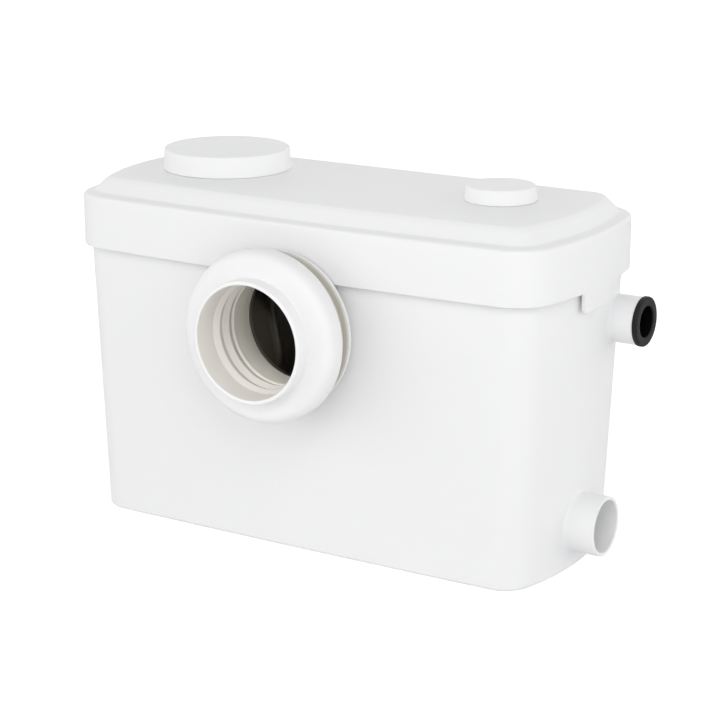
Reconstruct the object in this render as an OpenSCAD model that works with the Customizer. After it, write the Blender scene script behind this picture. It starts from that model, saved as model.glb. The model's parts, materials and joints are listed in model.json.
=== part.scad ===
// Macerator toilet pump: a white tank with a lift-off lid that takes the outlet of a toilet and the
// waste of a basin, grinds it in a basket and pumps it out through a small discharge pipe.
// X runs to the right seen from the front, the front faces -Y, Z is up.
// The origin is the middle of the tank's underside.

/* [Lid] */
// Width of the lid across its skirt
lid_w = 424; // [400:1:460]
// Depth of the lid from front to back
lid_d = 187; // [180:1:210]
// Height of the lid's upright skirt
skirt_h = 42.5; // [38:0.5:55]
// Rise of the raised top above the ledge
plateau_rise = 12; // [6:0.5:16]
// Width of the ledge round the raised top
ledge_w = 6.7; // [5:0.1:9]
// Run of the slope between the ledge and the raised top
slope_w = 11.5; // [6:0.5:14]
// Thickness of the lid's shell
lid_wall = 3; // [2:0.1:4]
// Bulge of the front edge at its middle
front_bow = 6.5; // [2:0.5:10]
// Bulge of each side edge at its middle
side_bow = 13; // [6:0.5:16]
// Radius of the lid's front corners
front_corner_r = 24; // [18:1:32]
// Radius of the lid's back corners
back_corner_r = 30; // [18:1:36]
// Length of each side tab
tab_w = 64; // [30:1:64]
// Drop of the side tabs below the skirt
tab_drop = 15; // [8:0.5:16]

/* [Caps] */
// Diameter of the service cap
service_cap_d = 102; // [90:0.2:110]
// Height of the service cap above the lid's top
service_cap_h = 16.5; // [10:0.5:22]
// Distance of the service cap from the middle, to the left
service_cap_x = 121; // [115:1:130]
// Diameter of the vent cap
vent_cap_d = 54.8; // [44:0.2:60]
// Height of the vent cap above the lid's top
vent_cap_h = 11.5; // [9:0.5:16]
// Distance of the vent cap from the middle, to the right
vent_cap_x = 125; // [110:1:135]
// Distance of both caps behind the middle
cap_y = 10; // [0:0.5:16]
// Shell of the caps and of the necks that they sit on
cap_wall = 2.5; // [1.5:0.1:3.5]

/* [Tank] */
// Height of the tank up to the lid's skirt
tank_h = 216; // [210:1:235]
// Lean of each wall between the skirt and the base
tank_taper = 7.5; // [4:0.5:12]
// Step from the lid's skirt back to the tank's wall
lid_overhang = 5.5; // [4:0.1:9]
// Thickness of the tank's walls
tank_wall = 3.5; // [2.5:0.1:4.5]
// Thickness of the tank's floor
floor_t = 4; // [3:0.1:6]
// Rounding of the tank's lower edge
base_edge = 2; // [1:0.5:12]
// Bulge of the tank's front edge at its base
base_bow = 1.5; // [0:0.5:8]

/* [Toilet inlet] */
// Height of the inlet's axis
inlet_z = 178; // [170:1:184]
// Bore of the tank's inlet neck
inlet_bore_d = 87; // [80:0.5:92]
// Wall of the inlet neck
neck_wall = 4.5; // [3:0.1:6]
// Reach of the neck in front of the lid
neck_reach = 21; // [17:0.5:26]
// Bore of the sleeve's mouth
mouth_d = 86; // [80:0.5:90]
// Wall of the sleeve's nose
nose_wall = 3; // [2:0.1:6]
// Length of the sleeve's nose
nose_l = 12; // [10:0.5:18]
// Diameter of the sleeve's flange
flange_d = 130; // [124:0.5:142]
// Length of the sleeve's flange, its rounding left out
flange_l = 4; // [2:0.5:12]
// Rounding of the flange's front edge
flange_edge = 11; // [4:0.5:13]
// Diameter of the ring at the sleeve's root
ring_d = 120; // [112:0.5:124]
// Height of the two sealing lips inside the sleeve
lip_h = 2.2; // [1:0.1:3]

/* [Discharge] */
// Height of the outlet's axis
outlet_z = 181; // [170:1:182]
// Distance of the outlet's axis behind the middle
outlet_y = 53; // [50:0.5:53]
// Diameter of the outlet stub
outlet_d = 36.6; // [36:0.2:40]
// Reach of the outlet stub beyond the lid's side
outlet_reach = 11; // [5:0.5:20]
// Bore of the rubber bush that grips the discharge pipe
bush_bore_d = 24; // [20:0.2:26]
// Outer radius of the discharge pipe inside the tank
pipe_r = 14; // [12:0.5:14]
// Wall of the discharge pipe and its fittings
pipe_wall = 3; // [2:0.1:3.5]
// Bend radius of the discharge pipe, at its axis
bend_r = 22; // [18:0.5:23]

/* [Side inlet] */
// Height of the side inlet's axis
side_z = 35; // [32:0.5:36]
// Diameter of the side inlet's spigot
side_d = 45.6; // [44:0.2:48]
// Bore of the side inlet's spigot
side_bore_d = 40; // [36:0.5:41]
// Reach of the side inlet's spigot beyond the lid's side
side_reach = 11.5; // [4:0.1:16]

/* [Grinder] */
// Depth of the basket from front to back
basket_d = 88; // [84:1:92]
// Width of the basket's mouth, inside
basket_top_w = 164; // [150:1:168]
// Width of the basket's floor, inside
basket_low_w = 116; // [108:1:120]
// Thickness of the basket's walls
basket_wall = 3; // [2:0.1:3.5]
// Length of the cutter blade
blade_l = 70; // [50:1:74]
// Radius of the holes in the basket
sieve_r = 4; // [2.5:0.1:5]

/* [Motor and pump] */
// Radius of the motor can
motor_r = 38; // [34:0.5:38]
// Length of the motor can
motor_l = 44; // [38:1:45]
// Radius of the shaft
shaft_r = 6; // [5:0.1:6.5]
// Radius of the pump casing
volute_r = 36; // [34:0.5:37]
// Width of the pump casing
volute_w = 26; // [25:0.5:27]
// Number of impeller vanes
vane_count = 5; // [4:1:6]

/* [Level switch] */
// Distance of the air bell from the middle, to the right
bell_x = 132; // [126:1:136]
// Height of the air bell's flange
bell_z = 150; // [140:1:160]
// Travel of the plunger
plunger_travel = 2.5; // [1:0.1:3]

/* [Hidden] */
$fn = 64;

// Slab thickness at the ends of a hull, overshoot of a cut, running fit and seating gap
thin = 0.02;
cut = 1;
fit = 0.05;
seat = 0.2;

// Heights of the tank and lid
ledge_z = tank_h + skirt_h;
top_z = ledge_z + plateau_rise;
rim_gap = 8;
rim_z = ledge_z - rim_gap;
seal_w = 2.5;
skirt_edge = 2.5;

// Half sizes of the tank below the skirt
tank_hw = lid_w/2 - lid_overhang;
tank_hd = lid_d/2 - lid_overhang;
tank_front_r = front_corner_r - lid_overhang;
tank_back_r = back_corner_r - lid_overhang;
least_corner_r = 4;

// The toilet inlet, measured outwards from the middle of the tank
neck_r = inlet_bore_d/2 + neck_wall;
neck_end = lid_d/2 + neck_reach;
throat_lip = 7.8;
throat_y = tank_wall + throat_lip - tank_depth(inlet_z);
notch_gap = 2;

// Steps of the sleeve, measured along its axis from the middle of the tank
sleeve_gap = 1.5;
ring_t = 5;
groove_l = 17.5;
groove_wall = 4.9;
rib_gap = 6;
rib_w = 2;
rib_step = 0.5;
sleeve_root = lid_d/2 + sleeve_gap;
rib_a = sleeve_root + ring_t + rib_gap;
flange_root = sleeve_root + ring_t + groove_l;
flange_face = flange_root + flange_l + flange_edge;
mouth_a = flange_face + nose_l;
mouth_r = mouth_d/2;
nose_edge = 1.5;
lip_pitch = 12;
lip_w = 5.9;
lip_start = 14.5;
first_lip = flange_face - lip_start;
tail_wall = 2;
tail_gap = 2.5;
tail_end = sleeve_root + tail_gap;

// Outlet stub and its bush
stub_lip = 8;
outlet_x = lid_w/2 + outlet_reach;
outlet_in_x = tank_side(outlet_z, outlet_y) - tank_wall - stub_lip;
stub_r = outlet_d/2 - pipe_wall;
bush_over = 0.7;
bush_lip_r = outlet_d/2 + bush_over;
bush_lip_t = 4;
bush_gap = 1;
bush_l = outlet_x - tank_side(outlet_z, outlet_y - outlet_d/2) - bush_gap;

// Side inlet and its flap
side_x = lid_w/2 + side_reach;
side_lip = 5;
flap_seat_x = tank_side(0, 0) - tank_wall - side_lip;
frame_t = 6;
frame_over = 4;
frame_step = 1;
frame_r = side_d/2 + frame_over;
frame_bore_r = side_bore_d/2 - frame_step;
frame_x = flap_seat_x - frame_t;
stop_gap = 1.5;
stop_x = tank_side(side_z + side_d/2, 0) + stop_gap;
flap_over = 2;
inlet_flap_r = side_bore_d/2 + flap_over;
flap_t = 3;
flap_gap = 0.3;
hinge_r = 3.2;
pin_r = 1.5;
inlet_hinge_z = side_z + inlet_flap_r + hinge_r;
inlet_hinge_x = frame_x - flap_gap - hinge_r;
ear_y = 11;
ear_t = 3;
ear_gap = 0.5;

// Basket and the shaft through it
basket_front = throat_y + seat;
trough_r = basket_d/2;
shaft_y = basket_front + trough_r;
basket_leg = 24;
shaft_z = floor_t + basket_leg + trough_r;
mouth_drop = 24;
mouth_h = 66;
taper_drop = 22;
basket_top = rim_z - mouth_drop;
taper_top = basket_top - mouth_h;
taper_low = shaft_z - taper_drop;
sieve_rows = 7;
sieve_columns = 5;
sieve_pitch = 20;
sieve_step = 18;
leg_x = 30;
leg_t = 5;
leg_w = 44;

// Pump casing and motor, from the basket to the left
suction_gap = 3;
suction_t = 3;
flange_t = 8;
end_t = 6;
end_step = 1;
suction_x = -basket_half(shaft_z + volute_r) - basket_wall - suction_gap;
volute_x1 = suction_x - suction_t;
volute_x0 = volute_x1 - volute_w;
volute_mid_x = (volute_x0 + volute_x1)/2;
motor_x1 = volute_x0 - flange_t;
motor_x0 = motor_x1 - motor_l;
volute_wall = 5;
eye_gap = 9;
chamber_r = volute_r - volute_wall;
eye_r = shaft_r + eye_gap;
can_wall = 2;
can_inner_r = motor_r - can_wall;
bearing_wall = 7;
boss_wall = 3;
seal_wall = 6;
bearing_r = shaft_r + bearing_wall;
bearing_w = 8;
boss_r = bearing_r + boss_wall;
seal_r = shaft_r + seal_wall;
seal_t = 4;
winding_l = 8;
winding_gap = 1;
winding_step = 3;
core_x0 = motor_x0 + winding_l + 2*winding_gap;
core_x1 = motor_x1 - winding_l - 2*winding_gap;
core_r = can_inner_r - fit;
air_gap = 0.5;
rotor_wall = 14;
rotor_r = shaft_r + rotor_wall;
rotor_over = 1;
flange_over = 4;
flange_r = motor_r + flange_over;
pump_screw_r = volute_r - volute_wall/2;
pump_thread_l = 5;
screw_r = 1.6;
screw_head_r = 2.8;
screw_head_t = 2;
screw_count = 4;
cradle_l = 30;
cradle_w = 48;
cradle_rise = 14;

// Blade and impeller on the shaft
impeller_gap = 3;
impeller_r = chamber_r - impeller_gap;
impeller_disc = 3;
vane_t = 2.5;
hub_wall = 3;
hub_r = shaft_r + hub_wall;
blade_t = 4;
blade_w = 16;
blade_hub_wall = 5;
blade_hub_r = shaft_r + blade_hub_wall;
blade_gap = 6;
blade_x = blade_gap - basket_half(shaft_z);
nut_t = 5;
nut_r = shaft_r + hub_wall;
shaft_over = 2;
shaft_end_x = blade_x + blade_t + nut_t + shaft_over;
shaft_hole_gap = 3;

// Discharge run from the pump casing to the outlet
stub_out_r = 12;
stub_in_r = 9.5;
stub_z = shaft_z + chamber_r - stub_in_r;
pump_stub_l = 15;
stub_end_y = shaft_y + volute_r + pump_stub_l;
socket_l = 12;
pipe_bore = pipe_r - pipe_wall;
valve_gap = 3;
valve_x = basket_top_w/2 + basket_wall + valve_gap;
valve_socket_l = 14;
valve_flange_t = 4;
valve_flange_r = 27;
screw_edge = 2.2;
valve_screw_r = valve_flange_r - screw_edge;
seat_x = valve_x + valve_socket_l + valve_flange_t;
valve_r = 19;
valve_wall = 3.5;
valve_l = 36;
valve_end_t = 3;
valve_flap_r = 15;
valve_flap_t = 2.5;
valve_hinge_z = outlet_z + valve_flap_r;
valve_hinge_r = 2.2;
valve_hinge_x = seat_x + flap_gap + valve_hinge_r;
valve_pin_r = 1.25;
valve_pin_l = 28;
tail_r = stub_r - 2*fit;
tail_bore = tail_r - pipe_wall;

// Level switch, stacked on the air bell
bell_front = 40;
bell_y = bell_front - tank_hd;
bell_r = 14;
bell_wall = 2.5;
bell_flange_r = 28;
bell_flange_t = 8;
bell_screw_edge = 4;
bell_screw_r = bell_flange_r - bell_screw_edge;
bell_chamber_r = 20;
bell_chamber_t = 3;
bell_slot_w = 8;
bell_slot_h = 10;
diaphragm_z = bell_z + bell_flange_t;
diaphragm_t = 1.5;
cover_z = diaphragm_z + diaphragm_t;
cover_h = 11;
cover_top_t = 3;
plate_r = 16;
plate_t = 2.5;
plunger_r = 4;
plate_z = cover_z + seat;
plunger_over = 7;
plunger_z1 = cover_z + cover_h + plunger_over;
bracket_t = 2;
bracket_w = 30;
bracket_d = 20;
bracket_h = 30;
switch_l = 20;
switch_d = 8;
switch_h = 14;
button_w = 4;
button_d = 3;
button_out = 3;
button_in = 3;
button_gap = 0.1;
switch_z = plunger_z1 + seat + button_out;

// Control box on the motor
box_l = 74;
box_w = 76;
box_h = 44;
box_wall = 2.5;
box_leg_h = 16;
box_leg_l = 6;
box_leg_w = 40;
box_over = 6;
box_rise = 8;
box_x0 = motor_x0 - box_over;
box_y0 = shaft_y - box_w/2;
box_z0 = shaft_z + motor_r + box_rise;
box_screw_inset = 6;
post_r = 4;
cover_plate_t = 3;
capacitor_r = 15;
capacitor_l = 58;
board_l = 56;
board_w = 26;
board_t = 1.6;
board_rise = 5;
board_gap = 1;
terminal_l = 30;
terminal_w = 12;
terminal_h = 13;

// Cable gland in the back wall
gland_side = 65;
gland_drop = 17;
gland_gap = 0.5;
gland_x = gland_side - tank_hw;
gland_z = tank_h - gland_drop;
gland_r = 8;
gland_head_r = 12;
gland_bore_r = 4;
gland_nut_t = 5;
gland_inside = 14;

// Necks of the lid and the parts of the caps that enter them
cap_gap = 0.6;
service_r = service_cap_d/2;
vent_r = vent_cap_d/2;
neck_step = 7;
service_neck_r = service_r - neck_step;
vent_neck_r = vent_r - neck_step;
service_neck_l = 12;
vent_neck_l = 18;
plug_gap = 0.4;
plug_l = 9;
service_plug_r = service_neck_r - plug_gap;
cord_r = 1.5;
cap_draft = 1.2;
filter_shelf = 2;
filter_h = 12;

// Points of the bowed outline that the lid and tank share
arc_steps = 6;
edge_steps = 8;

function arc_points(cx, cy, r, a0) =
    [for (i = [0 : arc_steps]) let (a = a0 + 90*i/arc_steps) [cx + r*cos(a), cy + r*sin(a)]];

function between(a, b) = [for (i = [1 : edge_steps - 1]) a + (b - a)*i/edge_steps];

function rounded(hw, hd, rf, rb) = concat(
    arc_points(hw - rf, rf - hd, rf, -90),
    between([hw, rf - hd], [hw, hd - rb]),
    arc_points(hw - rb, hd - rb, rb, 0),
    between([hw - rb, hd], [rb - hw, hd]),
    arc_points(rb - hw, hd - rb, rb, 90),
    between([-hw, hd - rb], [-hw, rf - hd]),
    arc_points(rf - hw, rf - hd, rf, 180),
    between([rf - hw, -hd], [hw - rf, -hd]));

function bowed(p, hw, hd, bow) = let (u = p[0]/hw, v = p[1]/hd)
    [p[0] - side_bow*v*v*u, p[1] - (v < 0 ? bow*u*u*v : 0)];

function outline(hw, hd, rf, rb, bow) =
    [for (p = rounded(hw, hd, max(rf, least_corner_r), max(rb, least_corner_r))) bowed(p, hw, hd, bow)];

function lid_outline(inset) =
    outline(lid_w/2 - inset, lid_d/2 - inset, front_corner_r - inset, back_corner_r - inset, front_bow);

function lean(z) = tank_taper*(1 - z/tank_h);

function tank_depth(z) = tank_hd - lean(z);

function tank_side(z, y) = tank_hw - lean(z) - side_bow*pow(y/tank_depth(z), 2);

function tank_outline(z, inset) = outline(tank_hw - lean(z) - inset, tank_depth(z) - inset,
    tank_front_r - inset, tank_back_r - inset, base_bow + (front_bow - base_bow)*z/tank_h);

// Half width of the basket, inside, at a height
function basket_half(z) = basket_low_w/2
    + (basket_top_w - basket_low_w)/2*max(0, min(1, (z - taper_low)/(taper_top - taper_low)));

// Round bars and tubes along the three axes
module rod_x(x0, x1, r, y, z) { translate([x0, y, z]) rotate([0, 90, 0]) cylinder(h = x1 - x0, r = r); }

module rod_y(y0, y1, r, x, z) { translate([x, y0, z]) rotate([-90, 0, 0]) cylinder(h = y1 - y0, r = r); }

module rod_z(z0, z1, r, x, y) { translate([x, y, z0]) cylinder(h = z1 - z0, r = r); }

module tube_x(x0, x1, r1, r0, y, z) {
    difference() {
        rod_x(x0, x1, r1, y, z);
        rod_x(x0 - cut, x1 + cut, r0, y, z);
    }
}

module tube_y(y0, y1, r1, r0, x, z) {
    difference() {
        rod_y(y0, y1, r1, x, z);
        rod_y(y0 - cut, y1 + cut, r0, x, z);
    }
}

module tube_z(z0, z1, r1, r0, x, y) {
    difference() {
        rod_z(z0, z1, r1, x, y);
        rod_z(z0 - cut, z1 + cut, r0, x, y);
    }
}

module shaft_rod(x0, x1, r) { rod_x(x0, x1, r, shaft_y, shaft_z); }

module shaft_tube(x0, x1, r1, r0) { tube_x(x0, x1, r1, r0, shaft_y, shaft_z); }

module slab(z, points) { translate([0, 0, z]) linear_extrude(thin) polygon(points); }

module prism(z0, z1, points) { translate([0, 0, z0]) linear_extrude(z1 - z0) polygon(points); }

// Things set on a circle round the shaft
module round_shaft(r, count, turn) {
    for (i = [0 : count - 1])
        translate([0, shaft_y, shaft_z])
            rotate([turn + 360*i/count, 0, 0])
                translate([0, r, 0])
                    children();
}

// Screw along +X with its head's seat at the origin
module screw_x(shank_l) {
    rod_x(-screw_head_t, 0, screw_head_r, 0, 0);
    rod_x(-thin, shank_l, screw_r, 0, 0);
}

// Screw down -Z with its head's seat at the origin
module screw_down(shank_l) {
    rod_z(0, screw_head_t, screw_head_r, 0, 0);
    rod_z(-shank_l, thin, screw_r, 0, 0);
}

// Tank
module tank_shell() {
    quarter = 1 - sqrt(0.5);
    difference() {
        union() {
            hull() {
                slab(0, tank_outline(0, base_edge));
                slab(base_edge*quarter, tank_outline(base_edge*quarter, base_edge*quarter));
                slab(base_edge, tank_outline(base_edge, 0));
                slab(tank_h - thin, tank_outline(tank_h, 0));
            }
            prism(tank_h - thin, rim_z, tank_outline(tank_h, 0));
        }
        hull() {
            slab(floor_t, tank_outline(floor_t, tank_wall + base_edge/4));
            slab(floor_t + base_edge, tank_outline(floor_t + base_edge, tank_wall));
            slab(tank_h, tank_outline(tank_h, tank_wall));
        }
        prism(tank_h, rim_z + cut, tank_outline(tank_h, tank_wall));
    }
}

module tank() {
    gland_y = tank_depth(gland_z);
    color("white")
        difference() {
            tank_shell();
            rod_y(-neck_end, throat_y, neck_r + fit, 0, inlet_z);
            rod_x(outlet_in_x, outlet_x, outlet_d/2 + fit, outlet_y, outlet_z);
            rod_x(flap_seat_x, side_x, side_d/2 + fit, 0, side_z);
            rod_y(gland_y - 3*tank_wall, gland_y + tank_wall, gland_r + fit, gland_x, gland_z);
        }
}

// Tubes welded into the tank's walls
module inlet_neck() {
    color("white") tube_y(-neck_end, throat_y, neck_r, inlet_bore_d/2, 0, inlet_z);
}

module outlet_stub() {
    color("white") tube_x(outlet_in_x, outlet_x, outlet_d/2, stub_r, outlet_y, outlet_z);
}

module side_spigot() {
    color("white") {
        tube_x(flap_seat_x, stop_x + thin, side_d/2, frame_bore_r, 0, side_z);
        tube_x(stop_x, side_x, side_d/2, side_bore_d/2, 0, side_z);
    }
}

// Sleeve for the toilet's outlet: half section, radius against distance in front of the middle
module wc_sleeve() {
    ring_r = ring_d/2;
    big_r = flange_d/2;
    nose_r = mouth_r + nose_wall;
    slot_r0 = inlet_bore_d/2 - fit;
    slot_r1 = neck_r + fit;
    slot_end = neck_end + seat;
    groove_r = neck_r + groove_wall;
    rib_r = ring_r - rib_step;
    section = concat(
        [[slot_r1, sleeve_root], [ring_r, sleeve_root], [ring_r, sleeve_root + ring_t],
         [groove_r, sleeve_root + ring_t], [groove_r, rib_a], [rib_r, rib_a], [rib_r, rib_a + rib_w],
         [groove_r, rib_a + rib_w], [groove_r, flange_root], [big_r, flange_root]],
        [for (t = [0 : 15 : 90])
            [big_r - flange_edge*(1 - cos(t)), flange_root + flange_l + flange_edge*sin(t)]],
        [[nose_r, flange_face], [nose_r, mouth_a - nose_edge], [nose_r - nose_edge, mouth_a],
         [mouth_r, mouth_a]],
        [for (i = [0 : 1], s = [1 : -1 : -1])
            [mouth_r - (s == 0 ? lip_h : 0), first_lip - i*lip_pitch + s*lip_w]],
        [[slot_r0 - tail_wall, tail_end], [slot_r0, tail_end], [slot_r0, slot_end], [slot_r1, slot_end]]);
    color("whitesmoke")
        translate([0, 0, inlet_z])
            rotate([90, 0, 0])
                rotate_extrude()
                    polygon(section);
}

module outlet_bush() {
    color([0.12, 0.12, 0.12])
        difference() {
            union() {
                rod_x(outlet_x - bush_l, outlet_x + bush_lip_t, stub_r - fit, outlet_y, outlet_z);
                rod_x(outlet_x, outlet_x + bush_lip_t, bush_lip_r, outlet_y, outlet_z);
            }
            rod_x(outlet_x - bush_l - cut, outlet_x + bush_lip_t + cut, bush_bore_d/2, outlet_y, outlet_z);
        }
}

// Basket: a trough with a round floor whose ends lean out to a wide mouth
function trough_section(grow, top) = concat(
    [[shaft_y + trough_r + grow, top], [shaft_y - trough_r - grow, top]],
    [for (a = [180 : 10 : 360]) [shaft_y + (trough_r + grow)*cos(a), shaft_z + (trough_r + grow)*sin(a)]]);

function basket_section(grow, top) =
    let (low = basket_low_w/2 + grow, high = basket_top_w/2 + grow, base = shaft_z - trough_r - cut)
    [[-low, base], [low, base], [low, taper_low], [high, taper_top], [high, top], [-high, top],
     [-high, taper_top], [-low, taper_low]];

module trough(grow, end_grow, top) {
    intersection() {
        translate([-basket_top_w, 0, 0])
            rotate([90, 0, 90])
                linear_extrude(2*basket_top_w)
                    polygon(trough_section(grow, top));
        translate([0, shaft_y + basket_d, 0])
            rotate([90, 0, 0])
                linear_extrude(2*basket_d)
                    polygon(basket_section(end_grow, top));
    }
}

module sieve_holes() {
    for (i = [0 : sieve_columns - 1], j = [0 : sieve_rows - 1])
        translate([(i - (sieve_columns - 1)/2)*sieve_pitch, shaft_y, shaft_z])
            rotate([180 + (j - (sieve_rows - 1)/2)*sieve_step, 0, 0])
                rod_z(trough_r - 2*basket_wall, trough_r + cut, sieve_r, 0, 0);
}

module basket() {
    color([0.1, 0.1, 0.1]) {
        difference() {
            trough(0, basket_wall, basket_top);
            trough(-basket_wall, 0, basket_top + cut);
            rod_y(basket_front - cut, basket_front + 2*basket_wall, inlet_bore_d/2 - seat, 0, inlet_z);
            shaft_rod(-basket_top_w, 0, shaft_r + shaft_hole_gap);
            sieve_holes();
        }
        for (side = [-1, 1])
            difference() {
                translate([side*leg_x - leg_t/2, shaft_y - leg_w/2, floor_t])
                    cube([leg_t, leg_w, basket_leg + trough_r/2]);
                shaft_rod(-basket_top_w, basket_top_w, trough_r - basket_wall/2);
            }
    }
}

// Motor
module motor_can() {
    color("silver") shaft_tube(motor_x0, motor_x1, motor_r, can_inner_r);
}

module motor_end_cover() {
    color("dimgray")
        difference() {
            union() {
                shaft_rod(motor_x0 - end_t, motor_x0, motor_r - end_step);
                shaft_rod(motor_x0 - thin, motor_x0 + bearing_w, boss_r);
            }
            shaft_rod(motor_x0, motor_x0 + bearing_w + cut, bearing_r + fit);
            shaft_rod(motor_x0 - end_t/2, motor_x0 + cut, shaft_r + cut);
        }
}

module motor_flange() {
    color("dimgray")
        difference() {
            union() {
                shaft_rod(motor_x1, volute_x0, flange_r);
                shaft_rod(motor_x1 - bearing_w, motor_x1 + thin, boss_r);
            }
            shaft_rod(motor_x1 - bearing_w - cut, motor_x1, bearing_r + fit);
            shaft_rod(motor_x1 - cut, volute_x0 + cut, shaft_r + cut);
            shaft_rod(volute_x0 - seal_t, volute_x0 + cut, seal_r + fit);
            round_shaft(pump_screw_r, screw_count, 0)
                rod_x(volute_x0 - pump_thread_l - seat, volute_x0 + cut, screw_r + fit, 0, 0);
        }
}

module motor_cradle() {
    mid_x = (motor_x0 + motor_x1)/2;
    color([0.2, 0.2, 0.2])
        difference() {
            translate([mid_x - cradle_l/2, shaft_y - cradle_w/2, floor_t])
                cube([cradle_l, cradle_w, shaft_z - motor_r - floor_t + cradle_rise]);
            shaft_rod(motor_x0, motor_x1, motor_r + seat);
        }
}

module stator_core() {
    color("gray") shaft_tube(core_x0, core_x1, core_r, rotor_r + air_gap);
}

module stator_windings() {
    inner_r = rotor_r + 2*air_gap;
    outer_r = core_r - winding_step;
    round_r = 2.5;
    color("chocolate")
        for (x = [core_x0 - winding_gap/2 - winding_l, core_x1 + winding_gap/2])
            translate([x, shaft_y, shaft_z])
                rotate([0, 90, 0])
                    rotate_extrude()
                        polygon([
                            [inner_r, round_r], [inner_r + round_r, 0], [outer_r - round_r, 0], [outer_r, round_r],
                            [outer_r, winding_l - round_r], [outer_r - round_r, winding_l],
                            [inner_r + round_r, winding_l], [inner_r, winding_l - round_r]]);
}

module front_bearing() {
    color("lightgray") shaft_tube(motor_x1 - bearing_w, motor_x1 - seat, bearing_r, shaft_r + fit);
}

module rear_bearing() {
    color("lightgray") shaft_tube(motor_x0 + seat, motor_x0 + bearing_w, bearing_r, shaft_r + fit);
}

module shaft_seal() {
    color([0.15, 0.15, 0.15]) shaft_tube(volute_x0 - seal_t + seat, volute_x0, seal_r, shaft_r + fit);
}

module rotor() {
    color("darkgray") shaft_tube(core_x0 - rotor_over, core_x1 + rotor_over, rotor_r, shaft_r);
}

module shaft() {
    color("gainsboro") shaft_rod(motor_x0 - end_t/2 + seat, shaft_end_x, shaft_r);
}

// Pump
module volute() {
    color([0.25, 0.25, 0.27])
        difference() {
            union() {
                shaft_rod(volute_x0, volute_x1, volute_r);
                rod_y(shaft_y, stub_end_y, stub_out_r, volute_mid_x, stub_z);
            }
            shaft_rod(volute_x0 - cut, volute_x1 + cut, chamber_r);
            rod_y(shaft_y, stub_end_y + cut, stub_in_r, volute_mid_x, stub_z);
            round_shaft(pump_screw_r, screw_count, 0)
                rod_x(volute_x0 - cut, volute_x1 + cut, screw_r + fit, 0, 0);
        }
}

module suction_cover() {
    color([0.25, 0.25, 0.27])
        difference() {
            shaft_rod(volute_x1, suction_x, volute_r);
            shaft_rod(volute_x1 - cut, suction_x + cut, eye_r);
            round_shaft(pump_screw_r, screw_count, 0)
                rod_x(volute_x1 - cut, suction_x + cut, screw_r + fit, 0, 0);
        }
}

module impeller() {
    x0 = volute_x0 + impeller_gap;
    x1 = volute_x1 - impeller_gap;
    color([0.3, 0.3, 0.32])
        difference() {
            union() {
                shaft_rod(x0, x0 + impeller_disc, impeller_r);
                shaft_rod(x0, x1, hub_r);
                round_shaft(0, vane_count, 0)
                    translate([x0, shaft_r + vane_t/2, -vane_t/2])
                        cube([x1 - x0, impeller_r - shaft_r - vane_t, vane_t]);
            }
            shaft_rod(x0 - cut, x1 + cut, shaft_r);
        }
}

module cutter_blade() {
    color("silver")
        difference() {
            union() {
                shaft_rod(blade_x, blade_x + blade_t, blade_hub_r);
                translate([blade_x, shaft_y - blade_l/2, shaft_z - blade_w/2])
                    cube([blade_t, blade_l, blade_w]);
            }
            shaft_rod(blade_x - cut, blade_x + blade_t + cut, shaft_r);
        }
}

module blade_nut() {
    x0 = blade_x + blade_t;
    color("gainsboro")
        difference() {
            translate([x0, shaft_y, shaft_z])
                rotate([0, 90, 0])
                    cylinder(h = nut_t, r = nut_r/cos(30), $fn = 6);
            shaft_rod(x0 - cut, x0 + nut_t + cut, shaft_r);
        }
}

// Quarter of a bent tube that leaves the origin along +Z and turns towards +X
module quarter_bend() {
    translate([bend_r, 0, 0])
        rotate([90, 0, 0])
            rotate([0, 0, 90])
                rotate_extrude(angle = 90)
                    translate([bend_r, 0])
                        difference() {
                            circle(pipe_r);
                            circle(pipe_bore);
                        }
}

module discharge_elbow() {
    bend_y = outlet_y - bend_r;
    color("lightgray") {
        tube_y(stub_end_y - socket_l, stub_end_y + seat, stub_out_r + fit + pipe_wall, stub_out_r + fit,
            volute_mid_x, stub_z);
        tube_y(stub_end_y + seat - thin, bend_y + thin, stub_out_r + fit + pipe_wall, pipe_bore, volute_mid_x, stub_z);
        translate([volute_mid_x, outlet_y, stub_z + bend_r])
            rotate([180, 0, -90])
                quarter_bend();
    }
}

module discharge_pipe() {
    color("lightgray") {
        tube_z(stub_z + bend_r, outlet_z - bend_r, pipe_r, pipe_bore, volute_mid_x, outlet_y);
        translate([volute_mid_x, outlet_y, outlet_z - bend_r])
            quarter_bend();
        tube_x(volute_mid_x + bend_r, valve_x + valve_socket_l - seat, pipe_r, pipe_bore, outlet_y, outlet_z);
    }
}

// Non-return valve of the discharge
module valve_bolts(x0, x1, r) {
    for (a = [45 : 90 : 315])
        rod_x(x0, x1, r, outlet_y + valve_screw_r*cos(a), outlet_z + valve_screw_r*sin(a));
}

module valve_seat() {
    flange_x = seat_x - valve_flange_t;
    color("lightgray")
        difference() {
            union() {
                rod_x(valve_x, flange_x + thin, pipe_r + fit + pipe_wall, outlet_y, outlet_z);
                rod_x(flange_x, seat_x, valve_flange_r, outlet_y, outlet_z);
            }
            rod_x(valve_x - cut, flange_x, pipe_r + fit, outlet_y, outlet_z);
            rod_x(flange_x - cut, seat_x + cut, pipe_bore, outlet_y, outlet_z);
            valve_bolts(flange_x - cut, seat_x + cut, screw_r + fit);
        }
}

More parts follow.
